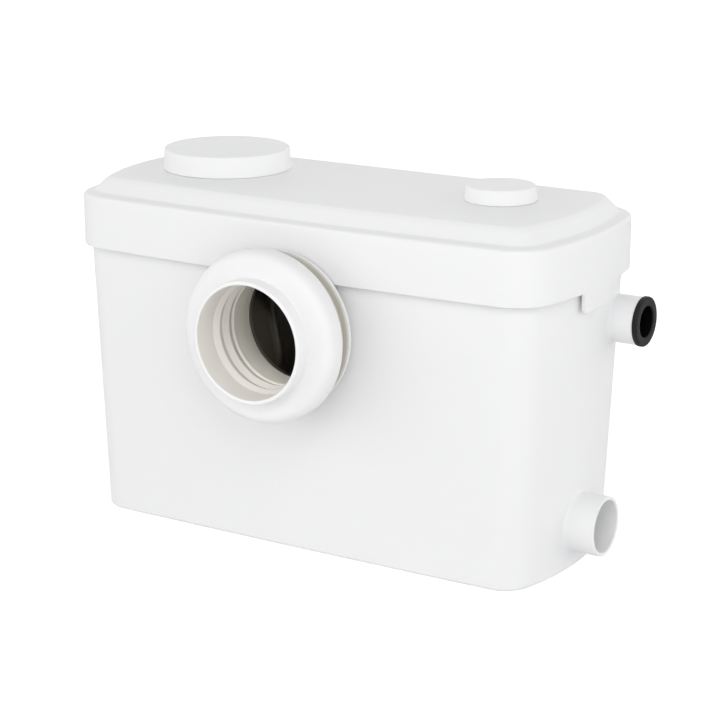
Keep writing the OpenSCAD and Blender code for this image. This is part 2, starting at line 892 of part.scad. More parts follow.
module valve_body() {
    end_x = seat_x + valve_l;
    color("lightgray")
        difference() {
            union() {
                rod_x(seat_x, seat_x + valve_flange_t, valve_flange_r, outlet_y, outlet_z);
                rod_x(seat_x, end_x + valve_end_t, valve_r + valve_wall, outlet_y, outlet_z);
                rod_x(end_x, outlet_in_x + stub_lip, tail_r, outlet_y, outlet_z);
            }
            rod_x(seat_x - cut, end_x, valve_r, outlet_y, outlet_z);
            rod_x(end_x - cut, outlet_in_x + stub_lip + cut, tail_bore, outlet_y, outlet_z);
            valve_bolts(seat_x - cut, seat_x + valve_flange_t + cut, screw_r + fit);
            rod_y(outlet_y - valve_pin_l/2 - seat, outlet_y + valve_pin_l/2 + seat, valve_pin_r + fit,
                valve_hinge_x, valve_hinge_z);
        }
}

module valve_flap() {
    disc_x = seat_x + flap_gap;
    barrel_l = 14;
    color([0.2, 0.2, 0.2])
        difference() {
            union() {
                rod_x(disc_x, disc_x + valve_flap_t, valve_flap_r, outlet_y, outlet_z);
                rod_y(outlet_y - barrel_l/2, outlet_y + barrel_l/2, valve_hinge_r, valve_hinge_x, valve_hinge_z);
                translate([disc_x, outlet_y - barrel_l/2, outlet_z])
                    cube([valve_flap_t, barrel_l, valve_hinge_z - outlet_z]);
            }
            rod_y(outlet_y - barrel_l, outlet_y + barrel_l, valve_pin_r + fit, valve_hinge_x, valve_hinge_z);
        }
}

module valve_pin() {
    color("silver")
        rod_y(outlet_y - valve_pin_l/2, outlet_y + valve_pin_l/2, valve_pin_r, valve_hinge_x, valve_hinge_z);
}

// Non-return flap of the side inlet
module inlet_flap_frame() {
    ear_h = 2*hinge_r;
    color("lightgray")
        difference() {
            union() {
                rod_x(frame_x, flap_seat_x, frame_r, 0, side_z);
                for (side = [-1, 1])
                    translate([inlet_hinge_x, side*(ear_y + ear_t/2) - ear_t/2, inlet_hinge_z]) {
                        rod_y(0, ear_t, hinge_r, 0, 0);
                        translate([0, 0, -hinge_r])
                            cube([flap_seat_x - inlet_hinge_x, ear_t, ear_h]);
                    }
            }
            rod_x(frame_x - cut, flap_seat_x + cut, frame_bore_r, 0, side_z);
            rod_y(-2*ear_y, 2*ear_y, pin_r + fit, inlet_hinge_x, inlet_hinge_z);
        }
}

module inlet_flap() {
    disc_x1 = frame_x - flap_gap;
    barrel_y = ear_y - ear_gap;
    color([0.2, 0.2, 0.2])
        difference() {
            union() {
                rod_x(disc_x1 - flap_t, disc_x1, inlet_flap_r, 0, side_z);
                rod_y(-barrel_y, barrel_y, hinge_r, inlet_hinge_x, inlet_hinge_z);
                translate([disc_x1 - flap_t, -barrel_y, side_z])
                    cube([flap_t, 2*barrel_y, inlet_hinge_z - side_z]);
            }
            rod_y(-2*ear_y, 2*ear_y, pin_r + fit, inlet_hinge_x, inlet_hinge_z);
        }
}

module inlet_flap_pin() {
    color("silver") rod_y(-ear_y - ear_t, ear_y + ear_t, pin_r, inlet_hinge_x, inlet_hinge_z);
}

// Level switch
module bell_bolts(z0, z1, r) {
    for (a = [45 : 90 : 315])
        rod_z(z0, z1, r, bell_x + bell_screw_r*cos(a), bell_y + bell_screw_r*sin(a));
}

module pressure_bell() {
    color("lightgray")
        difference() {
            union() {
                rod_z(floor_t, bell_z + thin, bell_r, bell_x, bell_y);
                rod_z(bell_z, diaphragm_z, bell_flange_r, bell_x, bell_y);
            }
            rod_z(floor_t - cut, diaphragm_z + cut, bell_r - bell_wall, bell_x, bell_y);
            rod_z(diaphragm_z - bell_chamber_t, diaphragm_z + cut, bell_chamber_r, bell_x, bell_y);
            bell_bolts(bell_z - cut, diaphragm_z + cut, screw_r + fit);
            translate([bell_x - bell_slot_w/2, bell_y - 2*bell_r, floor_t - cut])
                cube([bell_slot_w, 4*bell_r, bell_slot_h + cut]);
        }
}

module diaphragm() {
    color([0.15, 0.15, 0.15])
        difference() {
            rod_z(diaphragm_z, cover_z, bell_flange_r, bell_x, bell_y);
            bell_bolts(diaphragm_z - cut, cover_z + cut, screw_r + fit);
        }
}

module diaphragm_cover() {
    top = cover_z + cover_h;
    color("lightgray")
        difference() {
            rod_z(cover_z, top, bell_flange_r, bell_x, bell_y);
            rod_z(cover_z - cut, top - cover_top_t, bell_chamber_r, bell_x, bell_y);
            rod_z(cover_z, top + cut, plunger_r + fit, bell_x, bell_y);
            bell_bolts(cover_z - cut, top + cut, screw_r + fit);
        }
}

module diaphragm_plate() {
    color("gray") rod_z(plate_z, plate_z + plate_t, plate_r, bell_x, bell_y);
}

module plunger() {
    color("whitesmoke") rod_z(plate_z + plate_t, plunger_z1, plunger_r, bell_x, bell_y);
}

module switch_bracket() {
    base_z = cover_z + cover_h;
    wall_y = bell_y + switch_d/2;
    color("silver")
        difference() {
            union() {
                translate([bell_x - bracket_w/2, wall_y + bracket_t - bracket_d, base_z])
                    cube([bracket_w, bracket_d, bracket_t]);
                translate([bell_x - bracket_w/2, wall_y, base_z])
                    cube([bracket_w, bracket_t, bracket_h]);
            }
            rod_z(base_z - cut, base_z + bracket_t + cut, plunger_r + cut, bell_x, bell_y);
        }
}

module switch_pocket(grow, z0, z1) {
    translate([bell_x - button_w/2 - grow, bell_y - button_d/2 - grow, z0])
        cube([button_w + 2*grow, button_d + 2*grow, z1 - z0]);
}

module microswitch() {
    color([0.1, 0.1, 0.12])
        difference() {
            translate([bell_x - switch_l/2, bell_y - switch_d/2, switch_z])
                cube([switch_l, switch_d, switch_h]);
            switch_pocket(button_gap, switch_z - cut, switch_z + button_in + plunger_travel + seat);
        }
}

module switch_button() {
    color("firebrick") switch_pocket(0, switch_z - button_out, switch_z + button_in);
}

// Control box
module box_posts(r, z0, z1) {
    for (i = [0, 1], j = [0, 1])
        rod_z(z0, z1, r, box_x0 + box_screw_inset + i*(box_l - 2*box_screw_inset),
            box_y0 + box_screw_inset + j*(box_w - 2*box_screw_inset));
}

module control_box() {
    floor_z = box_z0 + box_wall;
    color("lightgray")
        difference() {
            union() {
                difference() {
                    translate([box_x0, box_y0, box_z0])
                        cube([box_l, box_w, box_h]);
                    translate([box_x0 + box_wall, box_y0 + box_wall, floor_z])
                        cube([box_l - 2*box_wall, box_w - 2*box_wall, box_h]);
                }
                box_posts(post_r, box_z0, box_z0 + box_h);
                for (x = [motor_x0 + box_leg_l, motor_x1 - 2*box_leg_l])
                    translate([x, shaft_y - box_leg_w/2, box_z0 - box_leg_h])
                        cube([box_leg_l, box_leg_w, box_leg_h + thin]);
            }
            shaft_rod(motor_x0 - 2*end_t, motor_x1 + flange_t, motor_r + seat);
            box_posts(screw_r + fit, box_z0 + box_h/2, box_z0 + box_h + cut);
        }
}

module control_cover() {
    z0 = box_z0 + box_h;
    color("lightgray")
        difference() {
            translate([box_x0, box_y0, z0])
                cube([box_l, box_w, cover_plate_t]);
            box_posts(screw_r + fit, z0 - cut, z0 + cover_plate_t + cut);
        }
}

module capacitor() {
    x0 = box_x0 + box_l/2 - capacitor_l/2;
    y = box_y0 + box_w - box_wall - 2*post_r - capacitor_r;
    color("white") rod_x(x0, x0 + capacitor_l, capacitor_r, y, box_z0 + box_wall + capacitor_r);
}

module circuit_board() {
    x0 = box_x0 + box_l/2 - board_l/2;
    y0 = box_y0 + box_wall + board_gap;
    z0 = box_z0 + box_wall;
    standoff = 5;
    color("darkgreen") {
        translate([x0, y0 + 2*post_r, z0 + board_rise])
            cube([board_l, board_w - 2*post_r, board_t]);
        for (x = [x0 + standoff, x0 + board_l - standoff])
            rod_z(z0, z0 + board_rise + thin, standoff/2, x, y0 + board_w/2 + post_r);
    }
}

module terminal_block() {
    color("dodgerblue")
        translate([box_x0 + box_l/2 - terminal_l/2, box_y0 + box_wall + 2*post_r + 2*board_gap,
                box_z0 + box_wall + board_rise + board_t])
            cube([terminal_l, terminal_w, terminal_h]);
}

// Cable gland
module cable_gland() {
    wall_y = tank_depth(gland_z);
    color("dimgray")
        difference() {
            union() {
                rod_y(wall_y - gland_inside, wall_y + lid_overhang/2, gland_r, gland_x, gland_z);
                rod_y(wall_y + gland_gap, lid_d/2, gland_head_r, gland_x, gland_z);
            }
            rod_y(wall_y - gland_inside - cut, lid_d/2 + cut, gland_bore_r, gland_x, gland_z);
        }
}

module gland_nut() {
    y1 = tank_depth(gland_z) - tank_wall - gland_gap;
    color("dimgray")
        difference() {
            translate([gland_x, y1, gland_z])
                rotate([90, 0, 0])
                    cylinder(h = gland_nut_t, r = gland_head_r, $fn = 6);
            rod_y(y1 - gland_nut_t - cut, y1 + cut, gland_r + fit, gland_x, gland_z);
        }
}

// Screws, each group in one node
module pump_screws() {
    color("silver")
        round_shaft(pump_screw_r, screw_count, 0)
            translate([suction_x, 0, 0])
                mirror([1, 0, 0])
                    screw_x(suction_t + volute_w + pump_thread_l);
}

module valve_screws() {
    flange_x = seat_x - valve_flange_t;
    color("silver")
        for (a = [45 : 90 : 315])
            translate([flange_x, outlet_y + valve_screw_r*cos(a), outlet_z + valve_screw_r*sin(a)])
                screw_x(2*valve_flange_t);
}

module diaphragm_screws() {
    top = cover_z + cover_h;
    color("silver")
        for (a = [45 : 90 : 315])
            translate([bell_x + bell_screw_r*cos(a), bell_y + bell_screw_r*sin(a), top])
                screw_down(top - bell_z);
}

module control_screws() {
    top = box_z0 + box_h + cover_plate_t;
    color("silver")
        for (i = [0, 1], j = [0, 1])
            translate([box_x0 + box_screw_inset + i*(box_l - 2*box_screw_inset),
                    box_y0 + box_screw_inset + j*(box_w - 2*box_screw_inset), top])
                screw_down(cover_plate_t + box_h/3);
}

// Lid
module lid_shell() {
    low_edge = skirt_edge/3;
    difference() {
        union() {
            hull() {
                slab(tank_h, lid_outline(low_edge));
                prism(tank_h + 2*low_edge, ledge_z - skirt_edge, lid_outline(0));
                slab(ledge_z - skirt_edge/4, lid_outline(skirt_edge/3));
                slab(ledge_z - thin, lid_outline(skirt_edge));
            }
            hull() {
                slab(ledge_z - lid_wall/2, lid_outline(ledge_w));
                slab(top_z - skirt_edge/2, lid_outline(ledge_w + slope_w - skirt_edge/2));
                slab(top_z - thin, lid_outline(ledge_w + slope_w + skirt_edge));
            }
        }
        prism(tank_h - cut, ledge_z - lid_wall, lid_outline(lid_wall));
        hull() {
            slab(ledge_z - lid_wall - thin, lid_outline(ledge_w + lid_wall));
            slab(top_z - lid_wall - thin, lid_outline(ledge_w + slope_w + lid_wall/2));
        }
    }
}

// Side tabs: the skirt's wall carried down below its lower edge
module lid_tabs() {
    foot_z = tank_h - tab_drop;
    corner = tab_drop/4;
    intersection() {
        difference() {
            prism(foot_z, tank_h + skirt_edge, lid_outline(0));
            prism(foot_z - cut, tank_h + skirt_edge + cut, lid_outline(lid_wall));
        }
        translate([-lid_w, 0, 0])
            rotate([90, 0, 90])
                linear_extrude(2*lid_w)
                    polygon([[tab_w/2 - corner, foot_z], [tab_w/2, foot_z + corner],
                        [tab_w/2, tank_h - corner], [tab_w/2 + corner, tank_h + thin],
                        [tab_w/2 + corner, tank_h + skirt_edge], [-tab_w/2 - corner, tank_h + skirt_edge],
                        [-tab_w/2 - corner, tank_h + thin], [-tab_w/2, tank_h - corner],
                        [-tab_w/2, foot_z + corner], [corner - tab_w/2, foot_z]]);
    }
}

module lid() {
    color("white")
        difference() {
            union() {
                lid_shell();
                lid_tabs();
                rod_z(top_z - service_neck_l, top_z - thin, service_neck_r + cap_wall, -service_cap_x, cap_y);
                rod_z(top_z - vent_neck_l, top_z - thin, vent_neck_r + cap_wall, vent_cap_x, cap_y);
            }
            rod_z(top_z - service_neck_l - cut, top_z + cut, service_neck_r, -service_cap_x, cap_y);
            rod_z(top_z - vent_neck_l + filter_shelf, top_z + cut, vent_neck_r, vent_cap_x, cap_y);
            rod_z(top_z - vent_neck_l - cut, top_z + cut, vent_neck_r - filter_shelf, vent_cap_x, cap_y);
            rod_y(-lid_d, -lid_d/4, neck_r + notch_gap, 0, inlet_z);
        }
}

module lid_seal() {
    z0 = rim_z + seat;
    z1 = ledge_z - lid_wall;
    color([0.2, 0.2, 0.2])
        difference() {
            prism(z0, z1, lid_outline(lid_overhang));
            prism(z0 - cut, z1 + cut, lid_outline(lid_overhang + seal_w));
        }
}

module charcoal_filter() {
    z0 = top_z - vent_neck_l + filter_shelf;
    color([0.12, 0.12, 0.12]) rod_z(z0, z0 + filter_h, vent_neck_r - plug_gap, vent_cap_x, cap_y);
}

// Cap: half section, radius against height above the lid's top
module cap(r, h, plug_r, plug_depth) {
    edge = 1.2;
    rotate_extrude()
        polygon([[0, h], [r - cap_draft - edge, h], [r - cap_draft, h - edge], [r, cap_gap],
            [r - cap_wall, cap_gap], [r - cap_wall - cap_draft, h - cap_wall], [plug_r, h - cap_wall],
            [plug_r, -plug_depth], [plug_r - cap_wall, -plug_depth], [plug_r - cap_wall, h - cap_wall],
            [0, h - cap_wall]]);
}

module service_cap() {
    color("white")
        difference() {
            translate([-service_cap_x, cap_y, top_z])
                cap(service_r, service_cap_h, service_plug_r, plug_l);
            translate([-service_cap_x, cap_y, top_z - plug_l/2])
                rotate_extrude()
                    translate([service_plug_r, 0])
                        circle(cord_r + fit);
        }
}

module service_cap_seal() {
    color([0.2, 0.2, 0.2])
        translate([-service_cap_x, cap_y, top_z - plug_l/2])
            rotate_extrude()
                intersection() {
                    translate([service_plug_r, 0])
                        circle(cord_r);
                    translate([0, -plug_l])
                        square([service_plug_r + plug_gap/2, 2*plug_l]);
                }
}

module vent_cap() {
    color("white")
        translate([vent_cap_x, cap_y, top_z])
            cap(vent_r, vent_cap_h, vent_neck_r - plug_gap, vent_neck_l - filter_shelf - filter_h - cut);
}

tank();
inlet_neck();
outlet_stub();
side_spigot();
wc_sleeve();
outlet_bush();
basket();
motor_can();
motor_end_cover();
motor_flange();
motor_cradle();
stator_core();
stator_windings();
front_bearing();
rear_bearing();
shaft_seal();
rotor();
shaft();
volute();
suction_cover();
impeller();
cutter_blade();
blade_nut();
discharge_elbow();
discharge_pipe();
valve_seat();
valve_body();
valve_flap();
valve_pin();
inlet_flap_frame();
inlet_flap();
inlet_flap_pin();
pressure_bell();
diaphragm();
diaphragm_cover();
diaphragm_plate();
plunger();
switch_bracket();
microswitch();
switch_button();
control_box();
control_cover();
capacitor();
circuit_board();
terminal_block();
cable_gland();
gland_nut();
pump_screws();
valve_screws();
diaphragm_screws();
control_screws();
lid();
lid_seal();
charcoal_filter();
service_cap();
service_cap_seal();
vent_cap();
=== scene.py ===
"""Looks of the macerator toilet pump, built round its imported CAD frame."""

import json
import math

import bmesh
import bpy
import numpy as np
from bpy.props import FloatProperty, FloatVectorProperty, IntProperty, PointerProperty
from bpy.types import Operator, Panel, PropertyGroup
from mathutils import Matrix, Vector


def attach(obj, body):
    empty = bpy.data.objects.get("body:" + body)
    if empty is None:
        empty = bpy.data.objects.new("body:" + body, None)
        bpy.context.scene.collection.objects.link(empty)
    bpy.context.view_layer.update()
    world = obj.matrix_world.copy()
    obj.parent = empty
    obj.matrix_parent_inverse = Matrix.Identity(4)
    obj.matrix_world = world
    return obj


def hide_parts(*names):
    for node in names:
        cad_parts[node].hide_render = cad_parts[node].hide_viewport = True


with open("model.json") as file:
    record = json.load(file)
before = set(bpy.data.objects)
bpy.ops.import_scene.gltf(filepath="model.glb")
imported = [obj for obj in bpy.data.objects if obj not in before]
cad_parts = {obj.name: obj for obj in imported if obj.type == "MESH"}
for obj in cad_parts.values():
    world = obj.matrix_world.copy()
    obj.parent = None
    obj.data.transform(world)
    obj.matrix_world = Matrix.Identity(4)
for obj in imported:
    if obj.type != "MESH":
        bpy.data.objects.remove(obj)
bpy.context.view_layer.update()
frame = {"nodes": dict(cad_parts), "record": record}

bl_info = {
    "name": "Macerator toilet pump",
    "version": (1, 0, 0),
    "blender": (4, 5, 0),
    "location": "3D View > Sidebar > Pump",
    "description": "Builds the shell, fittings, fasteners and finishes of a macerator toilet pump",
    "category": "Object",
}

MM = 0.001
QUARTER = math.pi/2
FRONT, RIGHT, UP = (0, -1, 0), (1, 0, 0), (0, 0, 1)
ROUND = 128                      # sides of most turned pieces
SMOOTH_ANGLE = math.radians(32)  # edges sharper than this stay crisp
HAIR = 1e-6                      # points closer than this count as one
STRAIGHT = 1e-3                  # corners closer to straight than this aren't rounded
EDGE_SHARE = 0.49                # most of an edge that the rounding of one corner takes


def length(label, about, size):
    """A length in metres for the sidebar, given in millimetres."""
    return FloatProperty(name=label, description=about, default=size*MM, min=0.0, unit="LENGTH", precision=4)


def tint(label, about, rgb):
    """A colour for the sidebar."""
    return FloatVectorProperty(name=label, description=about, default=rgb, size=3, min=0.0, max=1.0,
                               subtype="COLOR")


def share(label, about, value):
    """A number from 0 to 1 for the sidebar."""
    return FloatProperty(name=label, description=about, default=value, min=0.0, max=1.0, subtype="FACTOR")


def angle(label, about, degrees):
    """An angle in radians for the sidebar."""
    return FloatProperty(name=label, description=about, default=math.radians(degrees), subtype="ANGLE")


def power(label, about, watts):
    """A lamp's power in watts for the sidebar."""
    return FloatProperty(name=label, description=about, default=watts, min=0.0, unit="POWER")


def strength(label, about, value):
    """A strength of light for the sidebar."""
    return FloatProperty(name=label, description=about, default=value, min=0.0)


def point(label, about, xyz):
    """A place or direction in metres for the sidebar."""
    return FloatVectorProperty(name=label, description=about, default=xyz, size=3, subtype="XYZ")


class PumpShell(PropertyGroup):
    """Sizes of the lid and tank."""

    lid_w: length("Lid width", "Width across the lid's skirt", 423.96)
    lid_d: length("Lid depth", "Depth of the lid from front to back", 187)
    tank_h: length("Tank height", "Height of the tank up to the lid's skirt", 216)
    skirt_h: length("Skirt height", "Height of the lid's upright skirt", 42.5)
    edge_r: length("Skirt edge", "Rounding between the skirt and the ledge", 3.2)
    ledge_w: length("Ledge width", "Width of the ledge round the raised top", 8)
    ledge_fall: length("Ledge fall", "Fall of the ledge towards the skirt", 0.9)
    slope_w: length("Slope width", "Run of the slope up to the raised top", 10.2)
    rise: length("Raised top", "Rise of the raised top above the ledge", 12)
    crown: length("Crown", "Rise of the raised top's middle above its edge", 0.3)
    lid_wall: length("Lid wall", "Thickness of the lid's shell", 3)
    front_bow: length("Front bow", "Bulge of the front edge at its middle", 6.5)
    side_bow: length("Side bow", "Bulge of each side edge at its middle", 13)
    front_r: length("Front corners", "Radius of the lid's front corners", 24)
    back_r: length("Back corners", "Radius of the lid's back corners", 30)
    overhang: length("Overhang", "Step from the skirt back to the tank's wall", 5.5)
    taper: length("Taper", "Lean of each wall between the skirt and the base", 7.5)
    wall: length("Tank wall", "Thickness of the tank's walls", 3.5)
    floor: length("Tank floor", "Thickness of the tank's floor", 4)
    base_edge: length("Base rounding", "Rounding of the tank's lower edge", 2)
    base_bow: length("Base bow", "Bulge of the tank's front edge at its base", 1.5)
    rim_gap: length("Rim gap", "Distance of the tank's rim below the ledge", 8)
    tab_w: length("Tab length", "Length of each side tab", 42)
    tab_drop: length("Tab drop", "Drop of the side tabs below the skirt", 15)
    tab_round: length("Tab corners", "Rounding of the tabs' corners", 3.5)


class PumpFittings(PropertyGroup):
    """Sizes of the caps, sleeve, pipe ends and basket."""

    service_x: length("Service cap place", "Distance of the service cap to the left of the middle", 121)
    service_r: length("Service cap radius", "Radius of the service cap at its foot", 51)
    service_h: length("Service cap height", "Height of the service cap above the lid", 16.5)
    service_plug: length("Service plug", "Depth of the service cap's plug", 9)
    service_neck: length("Service neck", "Depth of the lid's neck for the service cap", 12)
    vent_x: length("Vent cap place", "Distance of the vent cap to the right of the middle", 125)
    vent_r: length("Vent cap radius", "Radius of the vent cap at its foot", 27.4)
    vent_h: length("Vent cap height", "Height of the vent cap above the lid", 11.5)
    vent_plug: length("Vent plug", "Depth of the vent cap's plug", 3)
    vent_neck: length("Vent neck", "Depth of the lid's neck for the vent cap", 18)
    filter_shelf: length("Filter shelf", "Width and thickness of the shelf under the filter", 2)
    cap_y: length("Cap offset", "Distance of both caps behind the middle", 10)
    cap_wall: length("Cap wall", "Shell of the caps and their necks", 2.5)
    cap_step: length("Cap step", "Step from a cap's foot in to its neck's bore", 7)
    plug_play: length("Plug play", "Gap between a cap's plug and its neck", 0.4)
    inlet_z: length("Inlet height", "Height of the toilet inlet's axis", 178)
    inlet_r: length("Inlet radius", "Bore radius of the tank's inlet neck", 43.5)
    inlet_wall: length("Inlet wall", "Wall of the inlet neck", 4.5)
    inlet_reach: length("Inlet reach", "Reach of the inlet neck in front of the lid", 21)
    sleeve_gap: length("Sleeve gap", "Gap between the lid and the sleeve", 1.5)
    sleeve_l: length("Sleeve length", "Length of the sleeve from its ring to its mouth", 49.5)
    flange_back: length("Flange back", "Distance of the flange's back from the sleeve's root", 20.5)
    flange_face: length("Flange face", "Distance of the flange's face from the sleeve's root", 37.5)
    mouth_r: length("Mouth radius", "Bore radius of the sleeve's mouth", 43)
    flange_r: length("Flange radius", "Radius of the sleeve's flange", 65)
    ring_r: length("Ring radius", "Radius of the ring at the sleeve's root", 60)
    outlet_y: length("Outlet offset", "Distance of the outlet's axis behind the middle", 53)
    outlet_z: length("Outlet height", "Height of the outlet's axis", 181)
    outlet_r: length("Outlet radius", "Radius of the outlet stub", 18.3)
    outlet_wall: length("Outlet wall", "Wall of the outlet stub", 3)
    outlet_reach: length("Outlet reach", "Reach of the outlet stub beyond the lid", 11)
    bush_bore: length("Bush bore", "Bore radius of the rubber bush", 12)
    bush_lip: length("Bush lip", "Thickness of the bush's lip before the stub", 4)
    side_z: length("Side inlet height", "Height of the side inlet's axis", 35)
    side_r: length("Side inlet radius", "Radius of the side inlet's spigot", 22.8)
    side_bore: length("Side inlet bore", "Bore radius of the side inlet's spigot", 20)
    side_reach: length("Side inlet reach", "Reach of the side inlet's spigot beyond the lid", 11.5)
    root_r: length("Root fillet", "Fillet where a spigot leaves the tank", 2.5)
    gland_x: length("Gland place", "Distance of the cable gland from the tank's left end", 65)
    gland_drop: length("Gland drop", "Distance of the cable gland below the lid's skirt", 17)
    gland_r: length("Gland hole", "Radius of the cable gland's hole", 8.05)
    basket_low: length("Basket floor", "Half the basket's inner width at its floor", 58)
    basket_top: length("Basket mouth", "Half the basket's inner width at its mouth", 82)
    basket_lean_z: length("Basket lean", "Height where the basket's sides start to lean out", 50)
    basket_lean_h: length("Basket lean height", "Height over which the basket's sides lean out", 110)
    basket_back: length("Basket back", "Distance of the basket's inner back wall behind the middle", 9.82)
    basket_round: length("Basket corners", "Rounding of the basket's back corners", 8)
    screw_sides: IntProperty(name="Screw sides", description="Sides of each screw", default=24, min=8, max=64)


class PumpFinish(PropertyGroup):
    """Colours and finishes."""

    shell: tint("Shell white", "Colour of the tank, lid and caps", (0.86, 0.862, 0.868))
    sleeve: tint("Sleeve white", "Colour of the sleeve for the toilet's outlet", (0.87, 0.87, 0.872))
    lips: tint("Lips", "Colour of the sleeve's inner lips", (0.9, 0.875, 0.83))
    # Painted shade: this darker colour stands in for the shadow in the groove behind the sleeve's flange
    groove: tint("Groove", "Colour of the groove behind the sleeve's flange", (0.62, 0.605, 0.55))
    throat: tint("Throat", "Colour of the tank's inlet neck", (0.92, 0.9, 0.825))
    rubber: tint("Rubber", "Colour of the bush, seals and flaps", (0.012, 0.012, 0.012))
    # Painted shade: the bush's bore is a darker copy of the rubber, standing in for the shade inside the hole
    bore: tint("Bush bore", "Colour inside the rubber bush", (0.003, 0.003, 0.003))
    hopper: tint("Basket", "Colour of the basket and other black mouldings", (0.095, 0.085, 0.068))
    grey: tint("Grey moulding", "Colour of the pump, pipes and control box", (0.33, 0.34, 0.35))
    motor: tint("Motor coat", "Colour of the motor can", (0.42, 0.43, 0.44))
    steel: tint("Steel", "Colour of the steel pieces", (0.62, 0.62, 0.63))
    lamination: tint("Laminations", "Colour of the stacked sheets", (0.36, 0.36, 0.37))
    copper: tint("Copper", "Colour of the windings", (0.52, 0.22, 0.09))
    white: tint("Inner white", "Colour of the plunger and capacitor", (0.78, 0.78, 0.76))
    red: tint("Red", "Colour of the switch button", (0.5, 0.05, 0.04))
    board: tint("Board", "Colour of the circuit board", (0.03, 0.2, 0.08))
    charcoal: tint("Charcoal", "Colour of the filter block", (0.03, 0.03, 0.03))
    gloss: share("Shell roughness", "Roughness of the white mouldings", 0.38)


class PumpStage(PropertyGroup):
    """Camera and studio."""

    azimuth: angle("Azimuth", "Camera's turn to the right of the front", 31.46)
    elevation: angle("Elevation", "Camera's height angle", 15.9)
    distance: length("Distance", "Camera's distance from its target", 1676.06)
    target: point("Target", "Point that the camera looks at", (0.01813, -0.0151, 0.13699))
    lens: FloatProperty(name="Lens", description="Focal length", default=108.43, min=1.0, unit="CAMERA")
    middle: point("Middle", "Point that the softboxes face", (0.0, 0.0, 0.13))
    key: power("Key", "Power of the high softbox above the camera", 2.97)
    key_place: point("Key place", "Place of the high softbox", (0.627, -1.025, 1.202))
    key_size: length("Key size", "Side of the high softbox", 600)
    front: power("Front", "Power of the small softbox by the camera", 0.2)
    front_place: point("Front place", "Place of the small softbox", (0.72, -1.4, 0.62))
    front_size: length("Front size", "Side of the small softbox", 300)
    spot_reach: length("Spot reach", "Distance of both spots from the sleeve's mouth", 1400)
    basket_spot: power("Basket spot", "Power of the narrow spot into the basket", 34.0)
    basket_way: point("Basket spot way", "Way from the sleeve's mouth to the basket spot",
                      (0.593, -0.759, 0.267))
    basket_cone: angle("Basket spot cone", "Opening of the basket spot", 3.3)
    lips_spot: power("Lips spot", "Power of the narrow spot onto the sleeve's lips", 20.0)
    lips_way: point("Lips spot way", "Way from the sleeve's mouth to the lips spot", (0.12, -0.8, 0.59))
    lips_cone: angle("Lips spot cone", "Opening of the lips spot", 2.6)
    zenith: strength("Zenith", "Strength of the light from overhead", 0.187)
    horizon: strength("Horizon", "Strength of the light from all round", 1.86)
    floor_glow: strength("Floor glow", "Glow of the floor where the camera sees it", 0.5)


def settings(group):
    """One of the scene's groups of settings."""
    return getattr(bpy.context.scene, group)


# Meshes


def mesh_piece(name, points, faces):
    """A new mesh object from points in metres and its faces."""
    mesh = bpy.data.meshes.new(name)
    mesh.from_pydata([tuple(p) for p in points], [], [tuple(int(i) for i in f) for f in faces])
    mesh.validate()
    piece = bpy.data.objects.new(name, mesh)
    bpy.context.scene.collection.objects.link(piece)
    return piece


def tidy_normals(piece):
    """Merges doubled points and turns every face outwards."""
    bm = bmesh.new()
    bm.from_mesh(piece.data)
    bmesh.ops.remove_doubles(bm, verts=bm.verts, dist=HAIR)
    bmesh.ops.recalc_face_normals(bm, faces=bm.faces)
    bm.to_mesh(piece.data)
    bm.free()


def shade(piece):
    """Smooth shading that keeps sharp edges crisp."""
    piece.data.shade_smooth()
    piece.data.set_sharp_from_angle(angle=SMOOTH_ANGLE)


def ring_faces(rings, count, start=0):
    """Quads between successive rings of the same number of points."""
    faces = []
    for i in range(rings - 1):
        a, b = start + i*count, start + (i + 1)*count
        for j in range(count):
            k = (j + 1) % count
            faces.append((a + j, a + k, b + k, b + j))
    return faces


def closing_faces(rings, count):
    """Quads from the last of several rings back to the first."""
    last = (rings - 1)*count
    return [(last + j, last + (j + 1) % count, (j + 1) % count, j) for j in range(count)]


def end_face(ring, count):
    """One face over a whole ring."""
    return tuple(range(ring*count, (ring + 1)*count))


def skin(name, loops, faces):
    """A piece over loops of points, with its faces turned outwards."""
    piece = mesh_piece(name, np.concatenate(loops), faces)
    tidy_normals(piece)
    return piece


def loft(name, loops):
    """A skin over loops of points, closed by a face at each end."""
    rings, count = len(loops), len(loops[0])
    faces = ring_faces(rings, count) + [end_face(0, count), end_face(rings - 1, count)]
    return skin(name, loops, faces)


def round_loft(name, loops):
    """A skin over loops of points, closed from the last loop to the first."""
    rings, count = len(loops), len(loops[0])
    return skin(name, loops, ring_faces(rings, count) + closing_faces(rings, count))


def turned(name, section, axis, origin, steps=ROUND):
    """A closed section of (radius, distance) points turned about an axis through origin."""
    direction = Vector(axis).normalized()
    u = direction.orthogonal().normalized()
    v = direction.cross(u)
    base, d, u, v = (np.array(w) for w in (origin, direction, u, v))
    turn = np.linspace(0, 2*math.pi, steps, endpoint=False)
    circle = np.cos(turn)[:, None]*u + np.sin(turn)[:, None]*v
    return round_loft(name, [base + a*d + r*circle for r, a in section])


def rod(name, radius, run, axis, origin):
    """A closed cylinder along an axis, over a run of distances from origin."""
    start, end = run
    return turned(name, [(HAIR, start), (radius, start), (radius, end), (HAIR, end)], axis, origin)


